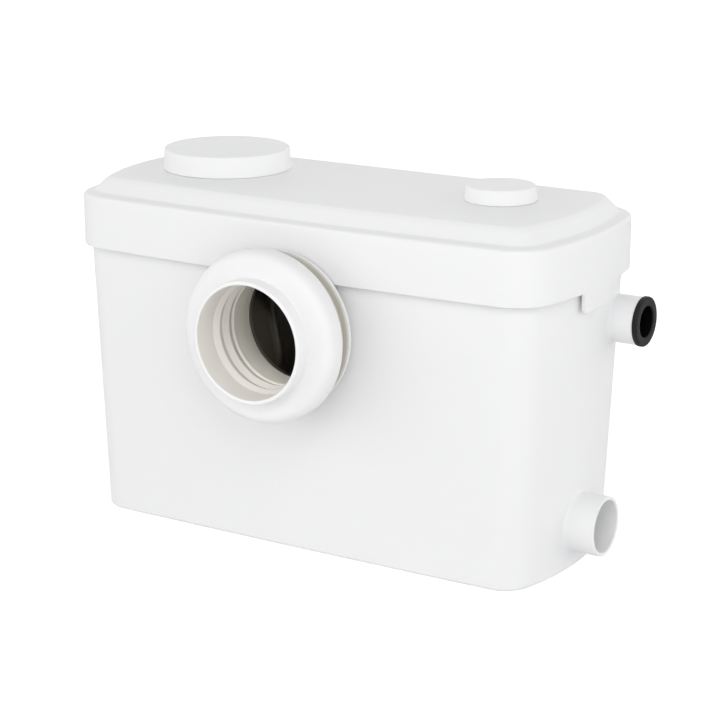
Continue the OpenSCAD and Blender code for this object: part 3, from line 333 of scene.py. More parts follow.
def eased(corners, steps=6):
    """A closed section from (radius, distance, rounding) corners with each corner rounded."""
    out = []
    count = len(corners)
    for i, (x, y, r) in enumerate(corners):
        p = np.array((x, y))
        a = np.array(corners[i - 1][:2]) - p
        b = np.array(corners[(i + 1) % count][:2]) - p
        la, lb = np.linalg.norm(a), np.linalg.norm(b)
        a, b = a/la, b/lb
        half = math.acos(max(-1.0, min(1.0, float(a @ b))))/2
        if r <= 0 or half > QUARTER - STRAIGHT:
            out.append(tuple(p))
            continue
        run = min(r/math.tan(half), EDGE_SHARE*la, EDGE_SHARE*lb)
        radius = run*math.tan(half)
        middle = (a + b)/np.linalg.norm(a + b)
        centre = p + middle*radius/math.sin(half)
        start, end = p + a*run - centre, p + b*run - centre
        sweep = math.pi - 2*half
        for k in range(steps + 1):
            t = k/steps
            w = (math.sin((1 - t)*sweep)*start + math.sin(t*sweep)*end)/math.sin(sweep)
            out.append(tuple(centre + w))
    return out


def metres(*values):
    """Values given in millimetres."""
    return tuple(v*MM for v in values)


def millimetres(*values):
    """Values given in metres."""
    return tuple(v/MM for v in values)


def join(pieces, name):
    """One object from several, in the first one's place."""
    with bpy.context.temp_override(active_object=pieces[0], selected_editable_objects=pieces):
        bpy.ops.object.join()
    pieces[0].name = name
    pieces[0].data.name = name
    return pieces[0]


def bake(piece):
    """Replaces a piece's mesh by what its modifiers make of it, and removes them."""
    bpy.context.view_layer.update()
    graph = bpy.context.evaluated_depsgraph_get()
    made = bpy.data.meshes.new_from_object(piece.evaluated_get(graph), depsgraph=graph)
    piece.modifiers.clear()
    old = piece.data
    piece.data = made
    bpy.data.meshes.remove(old)
    made.name = piece.name


def carve(piece, cutters):
    """Cuts closed pieces out of a closed piece, and deletes them."""
    for cutter in cutters:
        mod = piece.modifiers.new("carve", "BOOLEAN")
        mod.operation = "DIFFERENCE"
        mod.solver = "EXACT"
        mod.object = cutter
    bake(piece)
    for cutter in cutters:
        bpy.data.objects.remove(cutter)


# The bowed outline that the lid and tank share

# Steps of a corner, a long edge, a tab's rounded end, half its length, and the side before and behind it
ARC, LONG, BEND, TAB, AHEAD, BEHIND = 14, 60, 10, 20, 16, 14
TAB_END = 0.02*MM    # half the width in which a tab's end drops
LEAST_CORNER = 4*MM  # the outline's corners stay at least this round


def corner(cx, cy, r, first):
    """Points of a quarter circle."""
    turn = np.radians(first + 90*np.arange(ARC + 1)/ARC)
    return np.stack([cx + r*np.cos(turn), cy + r*np.sin(turn)], 1)


def edge(a, b, count):
    """Points between two corners, ends left out."""
    t = np.arange(1, count)[:, None]/count
    return np.array(a) + (np.array(b) - np.array(a))*t


def side_edge(x, low, high):
    """Points up a side, closer together at the ends of its tab."""
    s = settings("pump_shell")
    end, r = s.tab_w/2, s.tab_round
    front, back = s.lid_d/2 - s.front_r, s.lid_d/2 - s.back_r
    bend = r*np.sin(np.linspace(0, QUARTER, BEND))
    near = np.concatenate([end - r + bend[:-1], [end - TAB_END, end + TAB_END], (end + r - bend)[::-1][1:]])
    half = np.linspace(0, end - r, TAB)[:-1]
    ahead, behind = np.linspace(end + r, front, AHEAD)[1:-1], np.linspace(end + r, back, BEHIND)[1:-1]
    y = np.concatenate([-ahead[::-1], -near[::-1], -half[:0:-1], half, near, behind])
    y = low + (y + front)/(back + front)*(high - low)
    return np.column_stack([np.full(len(y), x), y])


def outline(hw, hd, rf, rb, bow):
    """Outline of the shell at given half sizes, bowed at the front and the sides."""
    s = settings("pump_shell")
    rf, rb = max(rf, LEAST_CORNER), max(rb, LEAST_CORNER)
    p = np.concatenate([
        corner(hw - rf, rf - hd, rf, -90), side_edge(hw, rf - hd, hd - rb),
        corner(hw - rb, hd - rb, rb, 0), edge((hw - rb, hd), (rb - hw, hd), LONG),
        corner(rb - hw, hd - rb, rb, 90), side_edge(-hw, rf - hd, hd - rb)[::-1],
        corner(rf - hw, rf - hd, rf, 180), edge((rf - hw, -hd), (hw - rf, -hd), LONG),
    ])
    u, v = p[:, 0]/hw, p[:, 1]/hd
    x = p[:, 0] - s.side_bow*v*v*u
    y = p[:, 1] - np.where(v < 0, bow*u*u*v, 0)
    return np.stack([x, y], 1)


def lid_loop(inset, z):
    """Loop of the lid at an inset from its skirt. z may differ from point to point."""
    s = settings("pump_shell")
    p = outline(s.lid_w/2 - inset, s.lid_d/2 - inset, s.front_r - inset, s.back_r - inset, s.front_bow)
    return np.column_stack([p, np.broadcast_to(z, len(p))])


def lean(z):
    """How far the tank's walls lean in at a height."""
    s = settings("pump_shell")
    return s.taper*(1 - min(z, s.tank_h)/s.tank_h)


def tank_loop(inset, z):
    """Loop of the tank at an inset from its outer wall."""
    s = settings("pump_shell")
    hw, hd = s.lid_w/2 - s.overhang - lean(z), s.lid_d/2 - s.overhang - lean(z)
    bow = s.base_bow + (s.front_bow - s.base_bow)*min(z, s.tank_h)/s.tank_h
    p = outline(hw - inset, hd - inset, s.front_r - s.overhang - inset, s.back_r - s.overhang - inset, bow)
    return np.column_stack([p, np.full(len(p), z)])


def side_wall(y, z):
    """X of the tank's right wall."""
    s = settings("pump_shell")
    hd = s.lid_d/2 - s.overhang - lean(z)
    return s.lid_w/2 - s.overhang - lean(z) - s.side_bow*(y/hd)**2


# Materials

MADE = {}                                # finishes by the record's slot or by their own name
GLOSS_SPREAD, LEAST_ROUGH = 0.06, 0.02   # wander of the gloss either way, and its smoothest
FACTOR, COLOUR_A, COLOUR_B, MIXED = 0, 6, 7, 2  # sockets of a Mix node for colours


def add_node(tree, kind, **values):
    """A node with its properties and input values set."""
    made = tree.nodes.new(kind)
    for key, value in values.items():
        if key in made.inputs:
            made.inputs[key].default_value = value
        else:
            setattr(made, key, value)
    return made


def moulded(name, colour, rough, grain, depth, mottle, metallic=0.0, shine=0.5, stretch=None):
    """A surface with fine grain, faint clouding and uneven gloss, on Object coordinates."""
    mat = bpy.data.materials.new(name + "_finish")
    mat.use_nodes = True
    tree = mat.node_tree
    shader = next(n for n in tree.nodes if n.type == "BSDF_PRINCIPLED")
    shader.inputs["Metallic"].default_value = metallic
    shader.inputs["Specular IOR Level"].default_value = shine
    link = tree.links.new
    where = add_node(tree, "ShaderNodeTexCoord").outputs["Object"]
    source = where
    if stretch:
        drawn = add_node(tree, "ShaderNodeMapping", Scale=stretch)
        link(where, drawn.inputs["Vector"])
        source = drawn.outputs["Vector"]
    cloud = add_node(tree, "ShaderNodeTexNoise", Scale=14.0, Detail=4.0, Roughness=0.55)
    link(where, cloud.inputs["Vector"])
    fine = add_node(tree, "ShaderNodeTexNoise", Scale=grain, Detail=3.0, Roughness=0.6)
    link(source, fine.inputs["Vector"])
    tone = add_node(tree, "ShaderNodeMix", data_type="RGBA")
    tone.inputs[COLOUR_A].default_value = (*(c*(1 - mottle) for c in colour), 1.0)
    tone.inputs[COLOUR_B].default_value = (*(min(1.0, c*(1 + mottle)) for c in colour), 1.0)
    link(cloud.outputs["Fac"], tone.inputs[FACTOR])
    link(tone.outputs[MIXED], shader.inputs["Base Color"])
    gloss = add_node(tree, "ShaderNodeMapRange", **{
        "From Min": 0.3, "From Max": 0.7,
        "To Min": max(LEAST_ROUGH, rough - GLOSS_SPREAD), "To Max": min(1.0, rough + GLOSS_SPREAD)})
    link(cloud.outputs["Fac"], gloss.inputs["Value"])
    link(gloss.outputs["Result"], shader.inputs["Roughness"])
    bump = add_node(tree, "ShaderNodeBump", Strength=depth, Distance=0.0004)
    link(fine.outputs["Fac"], bump.inputs["Height"])
    link(bump.outputs["Normal"], shader.inputs["Normal"])
    return mat


def finishes():
    """Every material, by the record's slot or by its own name."""
    f = settings("pump_finish")
    if MADE:
        return MADE
    MADE.update({m.name.removesuffix("_finish"): m for m in (
        moulded("white_shell", f.shell, f.gloss, grain=1400, depth=0.035, mottle=0.006),
        moulded("soft_white", f.sleeve, 0.42, grain=1100, depth=0.05, mottle=0.008),
        moulded("inner_lips", f.lips, 0.5, grain=1000, depth=0.06, mottle=0.02),
        # Painted shade for the groove, the rib and the ring's front face behind the sleeve's flange
        moulded("groove_beige", f.groove, 0.6, grain=1000, depth=0.06, mottle=0.03),
        moulded("throat_beige", f.throat, 0.5, grain=1000, depth=0.05, mottle=0.02),
        moulded("black_rubber", f.rubber, 0.5, grain=1000, depth=0.14, mottle=0.12, shine=0.2),
        # Painted shade inside the bush's hole: a darker, duller copy of the black rubber
        moulded("bore_black", f.bore, 0.8, grain=900, depth=0.05, mottle=0.05, shine=0.03),
        moulded("black_plastic", f.hopper, 0.22, grain=500, depth=0.03, mottle=0.1),
        moulded("grey_plastic", f.grey, 0.45, grain=900, depth=0.08, mottle=0.04),
        moulded("motor_metal", f.motor, 0.4, grain=600, depth=0.1, mottle=0.05, metallic=0.4),
        moulded("lamination", f.lamination, 0.38, grain=300, depth=0.3, mottle=0.08, metallic=0.9,
                stretch=(8, 0.2, 0.2)),
        moulded("copper", f.copper, 0.3, grain=380, depth=0.4, mottle=0.12, metallic=0.85,
                stretch=(4, 0.6, 0.6)),
        moulded("steel", f.steel, 0.28, grain=420, depth=0.08, mottle=0.04, metallic=1.0,
                stretch=(0.15, 2, 2)),
        moulded("white_plastic", f.white, 0.42, grain=900, depth=0.06, mottle=0.02),
        moulded("red_plastic", f.red, 0.4, grain=900, depth=0.06, mottle=0.04),
        moulded("green_board", f.board, 0.35, grain=700, depth=0.12, mottle=0.15),
        moulded("charcoal", f.charcoal, 0.9, grain=420, depth=0.9, mottle=0.4),
    )})
    return MADE


def dress(piece, *names):
    """Gives a piece its materials in order."""
    made = finishes()
    piece.data.materials.clear()
    for name in names:
        piece.data.materials.append(made[name])


def hand_over(piece, body, slot, *nodes):
    """Rides a finished piece on its body in place of its CAD nodes."""
    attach(piece, body)
    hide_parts(*nodes)


# Operators

# Runs of the cutters through the front wall, a side wall, the back wall and the lid's top
FRONT_RUN, SIDE_RUN, BACK_RUN, TOP_RUN = metres(60, 120), metres(-40, 20), metres(-12, 12), metres(-30, 10)


class PUMP_OT_tank(Operator):
    """Build the tank"""

    bl_idname = "pump.tank"
    bl_label = "Tank"

    levels = 9         # loops of a rounding, and of a wall's height
    rim_ease = 0.6*MM  # rounding of the rim
    first_up = 3*MM    # first loop of the wall above the lower edge's rounding
    in_wall = 1*MM     # depth of a hole's edge in the wall of its tube

    def execute(self, context):
        s, g = settings("pump_shell"), settings("pump_fittings")
        rim, ease, r = s.tank_h + s.skirt_h - s.rim_gap, self.rim_ease, s.base_edge
        quarter = np.linspace(0, QUARTER, self.levels)
        loops = [tank_loop(r*(1 - math.sin(t)), r*(1 - math.cos(t))) for t in quarter]
        loops += [tank_loop(0, z) for z in np.linspace(r + self.first_up, s.tank_h, self.levels)]
        loops += [tank_loop(0, rim - ease), tank_loop(ease, rim), tank_loop(s.wall - ease, rim)]
        loops += [tank_loop(s.wall, rim - ease)]
        loops += [tank_loop(s.wall, z) for z in np.linspace(s.tank_h, s.floor + r, self.levels)]
        loops += [tank_loop(s.wall + r*(1 - math.cos(t)), s.floor + r*(1 - math.sin(t))) for t in quarter[1:]]
        shell = loft("tank_shell", loops)
        right = s.lid_w/2
        gland_x, gland_z = g.gland_x + s.overhang - right, s.tank_h - g.gland_drop
        back = s.lid_d/2 - s.overhang - lean(gland_z)
        outlet_bore = g.outlet_r - g.outlet_wall
        carve(shell, [
            rod("hole_a", g.inlet_r + 2*self.in_wall, FRONT_RUN, FRONT, (0, 0, g.inlet_z)),
            rod("hole_b", outlet_bore + self.in_wall, SIDE_RUN, RIGHT, (right, g.outlet_y, g.outlet_z)),
            rod("hole_c", g.side_bore + self.in_wall, SIDE_RUN, RIGHT, (right, 0, g.side_z)),
            rod("hole_d", g.gland_r, BACK_RUN, (0, 1, 0), (gland_x, back, gland_z)),
        ])
        shade(shell)
        dress(shell, "white_shell")
        hand_over(shell, "tank", "white_shell", "tank")
        return {"FINISHED"}


class PUMP_OT_tubes(Operator):
    """Build the inlet neck, the outlet stub and the side spigot"""

    bl_idname = "pump.tubes"
    bl_label = "Tubes"

    neck_in, stub_in, spigot_in = metres(7.8, 8, 5)  # reach of each tube inside the tank's wall
    stop_step, stop_out = metres(1, 1.5)  # step of the spigot's pipe stop, and its distance from the wall
    tuck = 1.5*MM                         # depth of a root's hidden edges below the wall
    root_steps = 8                        # loops of a root's curve

    def execute(self, context):
        s, g = settings("pump_shell"), settings("pump_fittings")
        # Corners are (radius, distance, rounding)
        start = s.lid_d/2 - s.overhang - lean(g.inlet_z) - s.wall - self.neck_in
        end, bore, outer = s.lid_d/2 + g.inlet_reach, g.inlet_r, g.inlet_r + g.inlet_wall
        neck = turned("inlet_neck_tube", eased([
            (bore, start, 0.5*MM), (bore, end, 0.6*MM), (outer, end, 0.8*MM), (outer, start, 0.5*MM)], 4),
            FRONT, (0, 0, g.inlet_z))
        self.finish(neck, "inlet_neck", "throat_beige")
        start = side_wall(g.outlet_y, g.outlet_z) - s.wall - self.stub_in
        end, bore, outer = s.lid_w/2 + g.outlet_reach, g.outlet_r - g.outlet_wall, g.outlet_r
        stub = turned("outlet_stub_tube", eased([
            (bore, start, 0.4*MM), (bore, end, 0.5*MM), (outer, end, 0.8*MM), (outer, start, 0.4*MM)], 5),
            RIGHT, (0, g.outlet_y, g.outlet_z))
        root = self.root_fillet("stub_root", g.outlet_y, g.outlet_z, g.outlet_r, g.root_r)
        self.finish(stub, "outlet_stub", "white_shell", root)
        start = side_wall(0, 0) - s.wall - self.spigot_in
        stop = side_wall(0, g.side_z + g.side_r) + self.stop_out
        end, bore, outer, low = s.lid_w/2 + g.side_reach, g.side_bore, g.side_r, g.side_bore - self.stop_step
        spigot = turned("side_spigot_tube", eased([
            (low, start, 0.4*MM), (low, stop, 0.3*MM), (bore, stop, 0.2*MM),
            (bore, end, 0.9*MM), (outer, end, 1.0*MM), (outer, start, 0.4*MM)], 5),
            RIGHT, (0, 0, g.side_z))
        root = self.root_fillet("spigot_root", 0.0, g.side_z, g.side_r, g.root_r)
        self.finish(spigot, "side_spigot", "white_shell", root)
        return {"FINISHED"}

    def finish(self, tube, node, coat, *more):
        """Shades and dresses a tube with its root, and puts it in its node's place."""
        for p in (tube, *more):
            shade(p)
        if more:
            join([tube, *more], tube.name)
        dress(tube, coat)
        hand_over(tube, "tank", "white_shell", node)

    def root_fillet(self, name, y, z, radius, fillet):
        """A curved skirt that blends a spigot into the leaning wall."""
        turn = np.linspace(0, 2*math.pi, ROUND, endpoint=False)
        loops = []
        for t in np.linspace(0, QUARTER, self.root_steps):
            r = radius + fillet*(1 - math.sin(t))
            off = fillet*(1 - math.cos(t))
            ys, zs = y + r*np.cos(turn), z + r*np.sin(turn)
            xs = np.array([side_wall(a, b) for a, b in zip(ys, zs)]) + off
            loops.append(np.stack([xs, ys, zs], 1))
        inner, outer = loops[-1].copy(), loops[0].copy()
        inner[:, 0] -= fillet + self.tuck
        outer[:, 0] -= self.tuck
        return round_loft(name, [outer, *loops, inner])


class PUMP_OT_lid(Operator):
    """Build the lid with its skirt, side tabs, ledge and raised top"""

    bl_idname = "pump.lid"
    bl_label = "Lid"

    # Loops round the skirt's lower edge: distance from its inner or outer face and height, in
    # millimetres, and the share of a tab's drop that the loop follows
    skirt_inside = ((0, 1.0, 1), (0.3, 0.2, 1), (0.9, 0, 1))
    skirt_outside = ((1.3, 0, 1), (0.6, 0.2, 1), (0.15, 0.7, 1), (0, 1.6, 1), (0, 4, 0.6), (0, 12, 0))
    skirt_top = 8*MM  # last upright loop below the ledge
    edge_steps = 7    # loops of the rounding between skirt and ledge
    # Crisp corner between ledge and slope: distance past the ledge and height, in millimetres
    slope_foot = ((-1.2, 0.1), (-0.3, 0.4), (0.2, 0.75))
    slope_loops, slope_swell = np.linspace(0.08, 0.8, 6), 0.4*MM  # shares of the slope, and bulge at its foot
    # Rounded brow at the slope's top: shares of the slope, stretch of its run, and start and rate of its bend
    brow_loops, brow_stretch, brow_from, brow_bend = np.linspace(0.85, 1.0, 4), 1.02, 0.8, 0.9
    # Loops of the raised top: distance past the slope in millimetres, and share of the crown
    crown_loops = ((2, 0.05), (6, 0.15), (14, 0.35), (28, 0.65), (45, 0.88), (62, 1.0))
    # Loops inside: distance past the slope of the two under the top, past the ledge of the one under the
    # slope, size of the bevel at the skirt, and height of the lowest one
    under_middle, under_brow, under_slope, bevel, lowest = metres(60, 1.5, 3, 1, 12)
    # Bead along each end of a tab: height, its depth in from the skirt's face, distances of its two sides
    # from the tab's end, and the runs in which they rise
    bead_h, bead_depth, bead_near, bead_far, near_run, far_run = metres(0.5, 1.2, 1.5, 12, 2.5, 3)
    neck_gap = 2*MM    # gap between the skirt and the inlet neck
    neck_low = 0.3*MM  # distance of a cap neck's rim below the top

    def side_points(self, points):
        """Distance of each outline point from the middle of its side, and which ones are on a side."""
        s = settings("pump_shell")
        return np.abs(points[:, 1]), np.abs(points[:, 0]) > s.lid_w/2 - s.side_bow

    def tab_dip(self, points):
        """How far the skirt's lower edge drops at each outline point."""
        s = settings("pump_shell")
        r, end = s.tab_round, s.tab_w/2
        y, on_side = self.side_points(points)
        hollow = r - np.sqrt(np.clip(r*r - np.clip(end + r - y, 0, r)**2, 0, None))
        bulge = s.tab_drop - r + np.sqrt(np.clip(r*r - np.clip(y - end + r, 0, r)**2, 0, None))
        return np.where(on_side, np.where(y > end, hollow, bulge), 0)

    def tab_bead(self, points):
        """How far the bead along each end of a tab stands out, from 0 to 1."""
        end = settings("pump_shell").tab_w/2
        y, on_side = self.side_points(points)
        rise = np.clip((end - self.bead_near - y)/self.near_run, 0, 1)
        rise = rise*np.clip((y - end + self.bead_far)/self.far_run, 0, 1)
        return np.where(on_side, rise*rise*(3 - 2*rise), 0)

    def outer_rows(self, foot, ledge):
        """Inset, height and share of the tab's drop of each loop outside, from the skirt to the middle."""
        s = settings("pump_shell")
        high, slope_end = s.rise - s.crown, s.ledge_w + s.slope_w
        rows = [(s.lid_wall - i*MM, foot + z*MM, w) for i, z, w in self.skirt_inside]
        rows += [(i*MM, foot + z*MM, w) for i, z, w in self.skirt_outside]
        rows.append((0, ledge - self.skirt_top, 0))
        for t in np.linspace(0, QUARTER, self.edge_steps):
            rows.append((s.edge_r*(1 - math.cos(t)), ledge - s.ledge_fall - s.edge_r*(1 - math.sin(t)), 0))
        rows += [(s.ledge_w + i*MM, ledge + z*MM, 0) for i, z in self.slope_foot]
        for t in self.slope_loops:
            rows.append((s.ledge_w + s.slope_w*t, ledge + high*t + self.slope_swell*math.cos(QUARTER*t), 0))
        for t in self.brow_loops:
            up = t - self.brow_bend*(t - self.brow_from)**2
            rows.append((s.ledge_w + s.slope_w*t*self.brow_stretch, ledge + high*up, 0))
        return rows + [(slope_end + i*MM, ledge + high + s.crown*up, 0) for i, up in self.crown_loops]

    def inner_rows(self, foot, ledge):
        """Inset and height of each loop inside, from the middle to the skirt."""
        s = settings("pump_shell")
        slope_end, w = s.ledge_w + s.slope_w, s.lid_wall
        ceiling = ledge + s.rise - w
        return [(slope_end + self.under_middle, ceiling), (slope_end + self.under_brow, ceiling),
                (s.ledge_w + self.under_slope, ledge - w), (w + self.bevel, ledge - w),
                (w, ledge - w - self.bevel), (w, foot + self.lowest)]

    def execute(self, context):
        s, g = settings("pump_shell"), settings("pump_fittings")
        foot, ledge = s.tank_h, s.tank_h + s.skirt_h
        top = ledge + s.rise
        dip, bead = self.tab_dip(lid_loop(0, 0)), self.tab_bead(lid_loop(0, 0))
        outer = self.outer_rows(foot, ledge)
        loops = [lid_loop(i, z - dip*w) for i, z, w in outer]
        for loop, (inset, _, w) in zip(loops, outer):
            loop[:, 0] += np.sign(loop[:, 0])*self.bead_h*bead*w*(inset < self.bead_depth)
            loop[:, 0] = np.clip(loop[:, 0], -s.lid_w/2, s.lid_w/2)
        loops += [lid_loop(i, z) for i, z in self.inner_rows(foot, ledge)]
        shell = self.shell(loops, len(outer))
        caps = (("service_neck", -g.service_x, g.service_r - g.cap_step, g.service_neck, 0.0),
                ("vent_neck", g.vent_x, g.vent_r - g.cap_step, g.vent_neck, g.filter_shelf))
        holes = [rod(name + "_hole", bore, TOP_RUN, UP, (x, g.cap_y, top)) for name, x, bore, _, _ in caps]
        inlet = g.inlet_r + g.inlet_wall + self.neck_gap
        carve(shell, holes + [rod("inlet_hole", inlet, FRONT_RUN, FRONT, (0, 0, g.inlet_z))])
        shade(shell)
        parts = [shell]
        for name, x, bore, deep, shelf in caps:
            # Corners are (radius, height, rounding)
            outside, low, tip = bore + g.cap_wall, top - deep, top - self.neck_low
            ring = [(bore, tip, 0.3*MM), (outside, tip, 0.3*MM), (outside, low, 0.4*MM)]
            if shelf:
                ring += [(bore - shelf, low, 0.4*MM), (bore - shelf, low + shelf, 0.2*MM),
                         (bore, low + shelf, 0.0)]
            else:
                ring += [(bore, low, 0.4*MM)]
            neck = turned(name, eased(ring, 4), UP, (x, g.cap_y, 0))
            shade(neck)
            parts.append(neck)
        lid = join(parts, "lid_shell")
        dress(lid, "white_shell")
        hand_over(lid, "lid", "white_shell", "lid")
        return {"FINISHED"}

    def shell(self, loops, outer_count):
        """One closed shell: the outer loops end in a face, and so do the inner ones."""
        rings, count = len(loops), len(loops[0])
        faces = ring_faces(outer_count, count) + ring_faces(rings - outer_count, count, outer_count*count)
        faces += [end_face(outer_count - 1, count), end_face(outer_count, count)]
        return skin("lid_body", loops, faces + closing_faces(rings, count))


class PUMP_OT_caps(Operator):
    """Build the service cap and the vent cap"""

    bl_idname = "pump.caps"
    bl_label = "Caps"

    draft = 1.2*MM      # lean of a cap's side
    gap = 0.1*MM        # gap between a cap's foot and the lid
    groove_r = 1.55*MM  # radius of the sealing ring's groove
    groove_steps = 9    # points of the groove

    def execute(self, context):
        s, g = settings("pump_shell"), settings("pump_fittings")
        top = s.tank_h + s.skirt_h + s.rise
        for name, x, r, h, plug in (("service_cap", -g.service_x, g.service_r, g.service_h, g.service_plug),
                                    ("vent_cap", g.vent_x, g.vent_r, g.vent_h, g.vent_plug)):
            w, plug_r = g.cap_wall, r - g.cap_step - g.plug_play
            # Corners are (radius, height, rounding)
            section = eased([
                (HAIR, h, 0), (r - self.draft, h, 1.3*MM), (r, self.gap, 0.5*MM), (r - w, self.gap, 0.4*MM),
                (r - w - self.draft, h - w, 0.6*MM), (plug_r, h - w, 0.6*MM), (plug_r, -plug, 0.5*MM),
                (plug_r - w, -plug, 0.5*MM), (plug_r - w, h - w, 0.6*MM), (HAIR, h - w, 0)], 5)
            if name == "service_cap":
                section = self.with_groove(section, plug_r, plug)
            cap = turned(name + "_shell", section, UP, (x, g.cap_y, top))
            shade(cap)
            dress(cap, "white_shell")
            hand_over(cap, name, "white_shell", name)
        return {"FINISHED"}

    def with_groove(self, section, plug_r, plug):
        """The section with the round groove that the sealing ring sits in."""
        out = []
        for (r, a), (next_r, next_a) in zip(section, section[1:] + section[:1]):
            out.append((r, a))
            if max(abs(r - plug_r), abs(next_r - plug_r)) < HAIR/10 and a > -plug/2 > next_a:
                for t in np.linspace(QUARTER, -QUARTER, self.groove_steps):
                    out.append((plug_r - self.groove_r*math.cos(t), -plug/2 + self.groove_r*math.sin(t)))
        return out


class PUMP_OT_sleeve(Operator):
    """Build the sleeve for the toilet's outlet"""

    bl_idname = "pump.sleeve"
    bl_label = "Toilet sleeve"

    sides = 160
    # In millimetres: the groove's floor above the neck's bore, the rib below the ring's rim, the nose's wall
    # and the height of the lips, then the gap at the inlet neck's wall and the end of its slot from the root
    groove_floor, rib_low, nose_wall, lip_h = 9.4, 0.5, 3, 2.2
    fit, slot_end = 0.05, 19.7
    # Coloured zones: their margin, the lips' from the mouth, and the groove's from the root and the flange.
    # The groove's zone is painted shade
    margin, lips_from, groove_from, groove_to = metres(0.1, 2, 3, 0.6)

    def execute(self, context):
        g = settings("pump_fittings")
        start = settings("pump_shell").lid_d/2 + g.sleeve_gap
        mouth, flange, ring = millimetres(g.mouth_r, g.flange_r, g.ring_r)
        bore, wall = millimetres(g.inlet_r, g.inlet_wall)
        along = (0, g.flange_back, g.flange_face, g.sleeve_l)
        root, back, face, tip = millimetres(*(start + d for d in along))
        neck, floor, rib = bore + wall + self.fit, bore + self.groove_floor, ring - self.rib_low
        nose, lip = mouth + self.nose_wall, mouth - self.lip_h
        slot, slot_end = bore - self.fit, root + self.slot_end
        # Corners are (radius, distance, rounding) in millimetres
        section = eased([metres(*row) for row in (
            # the ring at the root
            (neck, root, 0.3), (ring, root, 1.4), (ring, root + 5, 1.4), (floor, root + 5, 1.2),
            # the thin rib in the groove
            (floor, root + 11, 0.6), (rib, root + 11, 0.7), (rib, root + 13, 0.7), (floor, root + 13, 0.6),
            # the flange
            (floor, back, 1.5), (flange, back, 0.4), (flange, face, 11),
            # the nose
            (nose, face, 1.6), (nose, tip, 1.2), (mouth, tip, 1.0),
            # the two lips inside
            (mouth, face - 8.6, 1.5), (lip, face - 14.5, 2.5), (mouth, face - 20.4, 0.6),
            (lip, face - 26.5, 2.5), (mouth, face - 32.4, 0.8),
            # the slot for the inlet neck
            (slot - 2, root + 2.5, 0.5), (slot, root + 2.5, 0.4),
            (slot, slot_end, 0.3), (neck, slot_end, 0.3))])
        sleeve = turned("wc_sleeve_body", section, FRONT, (0, 0, g.inlet_z), self.sides)
        shade(sleeve)
        dress(sleeve, "soft_white", "inner_lips", "groove_beige")
        inside, groove = g.mouth_r + self.margin, g.ring_r + self.margin
        front, near, far = tip*MM - self.lips_from, root*MM + self.groove_from, back*MM - self.groove_to
        for part in sleeve.data.polygons:
            x, y, z = part.center
            out = math.hypot(x, z - g.inlet_z)
            if out < inside and -y < front:
                part.material_index = 1
            # painted shade on the groove's floor, the rib and the ring's front face behind the flange
            elif inside < out < groove and near < -y < far:
                part.material_index = 2
        hand_over(sleeve, "tank", "soft_white", "wc_sleeve")
        return {"FINISHED"}


class PUMP_OT_basket(Operator):
    """Build the rounded back corners inside the basket"""

    bl_idname = "pump.basket"
    bl_label = "Basket corners"

    low, high, levels = 60*MM, 225.5*MM, 40  # ends of the corners, and their loops
    sink = 0.3*MM                            # depth of the corners' hidden faces in the basket's walls
    arc_steps = 17                           # points of the rounding

    def execute(self, context):
        g = settings("pump_fittings")
        r, back = g.basket_round, g.basket_back + self.sink
        arc = np.linspace(0, QUARTER, self.arc_steps)
        pieces = []
        for side in (-1, 1):
            loops = []
            for z in np.linspace(self.low, self.high, self.levels):
                x = side*(self.half_width(z) + self.sink)
                xs, ys = x - side*r*(1 - np.cos(arc)), back - r*(1 - np.sin(arc))
                xs, ys = np.append(xs, x), np.append(ys, back)
                loops.append(np.column_stack([xs, ys, np.full(len(xs), z)]))
            pieces.append(loft("basket_corner", loops))
            shade(pieces[-1])
        corners = join(pieces, "basket_corners")
        dress(corners, "black_plastic")
        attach(corners, "tank")
        return {"FINISHED"}

    def half_width(self, z):
        """Half the basket's inner width at a height."""
        g = settings("pump_fittings")
        t = (z - g.basket_lean_z)/g.basket_lean_h
        return g.basket_low + (g.basket_top - g.basket_low)*max(0.0, min(1.0, t))


class PUMP_OT_bush(Operator):
    """Build the rubber bush of the discharge stub"""

    bl_idname = "pump.bush"
    bl_label = "Discharge bush"

    sides = 96
    behind = 1*MM     # distance of the bush's inner end from the tank's wall
    proud = 0.7*MM    # how far the lip stands out over the stub
    fit = 0.05*MM     # gap between the bush and the stub
    margin = 0.05*MM  # margin of the coloured bore

    def execute(self, context):
        s, g = settings("pump_shell"), settings("pump_fittings")
        bore, plug, lip = g.bush_bore, g.outlet_r - g.outlet_wall - self.fit, g.outlet_r + self.proud
        end = side_wall(g.outlet_y - g.outlet_r, g.outlet_z) + self.behind
        stub = s.lid_w/2 + g.outlet_reach
        tip = stub + g.bush_lip
        # Corners are (radius, distance, rounding)
        section = eased([
            (bore, end, 0.6*MM), (bore, tip, 1.1*MM), (lip, tip, 1.2*MM),
            (lip, stub, 0.5*MM), (plug, stub, 0.2*MM), (plug, end, 0.6*MM)], 5)
        bush = turned("outlet_bush_body", section, RIGHT, (0, g.outlet_y, g.outlet_z), self.sides)
        shade(bush)
        dress(bush, "black_rubber", "bore_black")
        # painted shade: the faces of the bore get the darker copy of the rubber
        for part in bush.data.polygons:
            _, y, z = part.center
            if math.hypot(y - g.outlet_y, z - g.outlet_z) < bore + self.margin:
                part.material_index = 1
        hand_over(bush, "tank", "black_rubber", "outlet_bush")
        return {"FINISHED"}


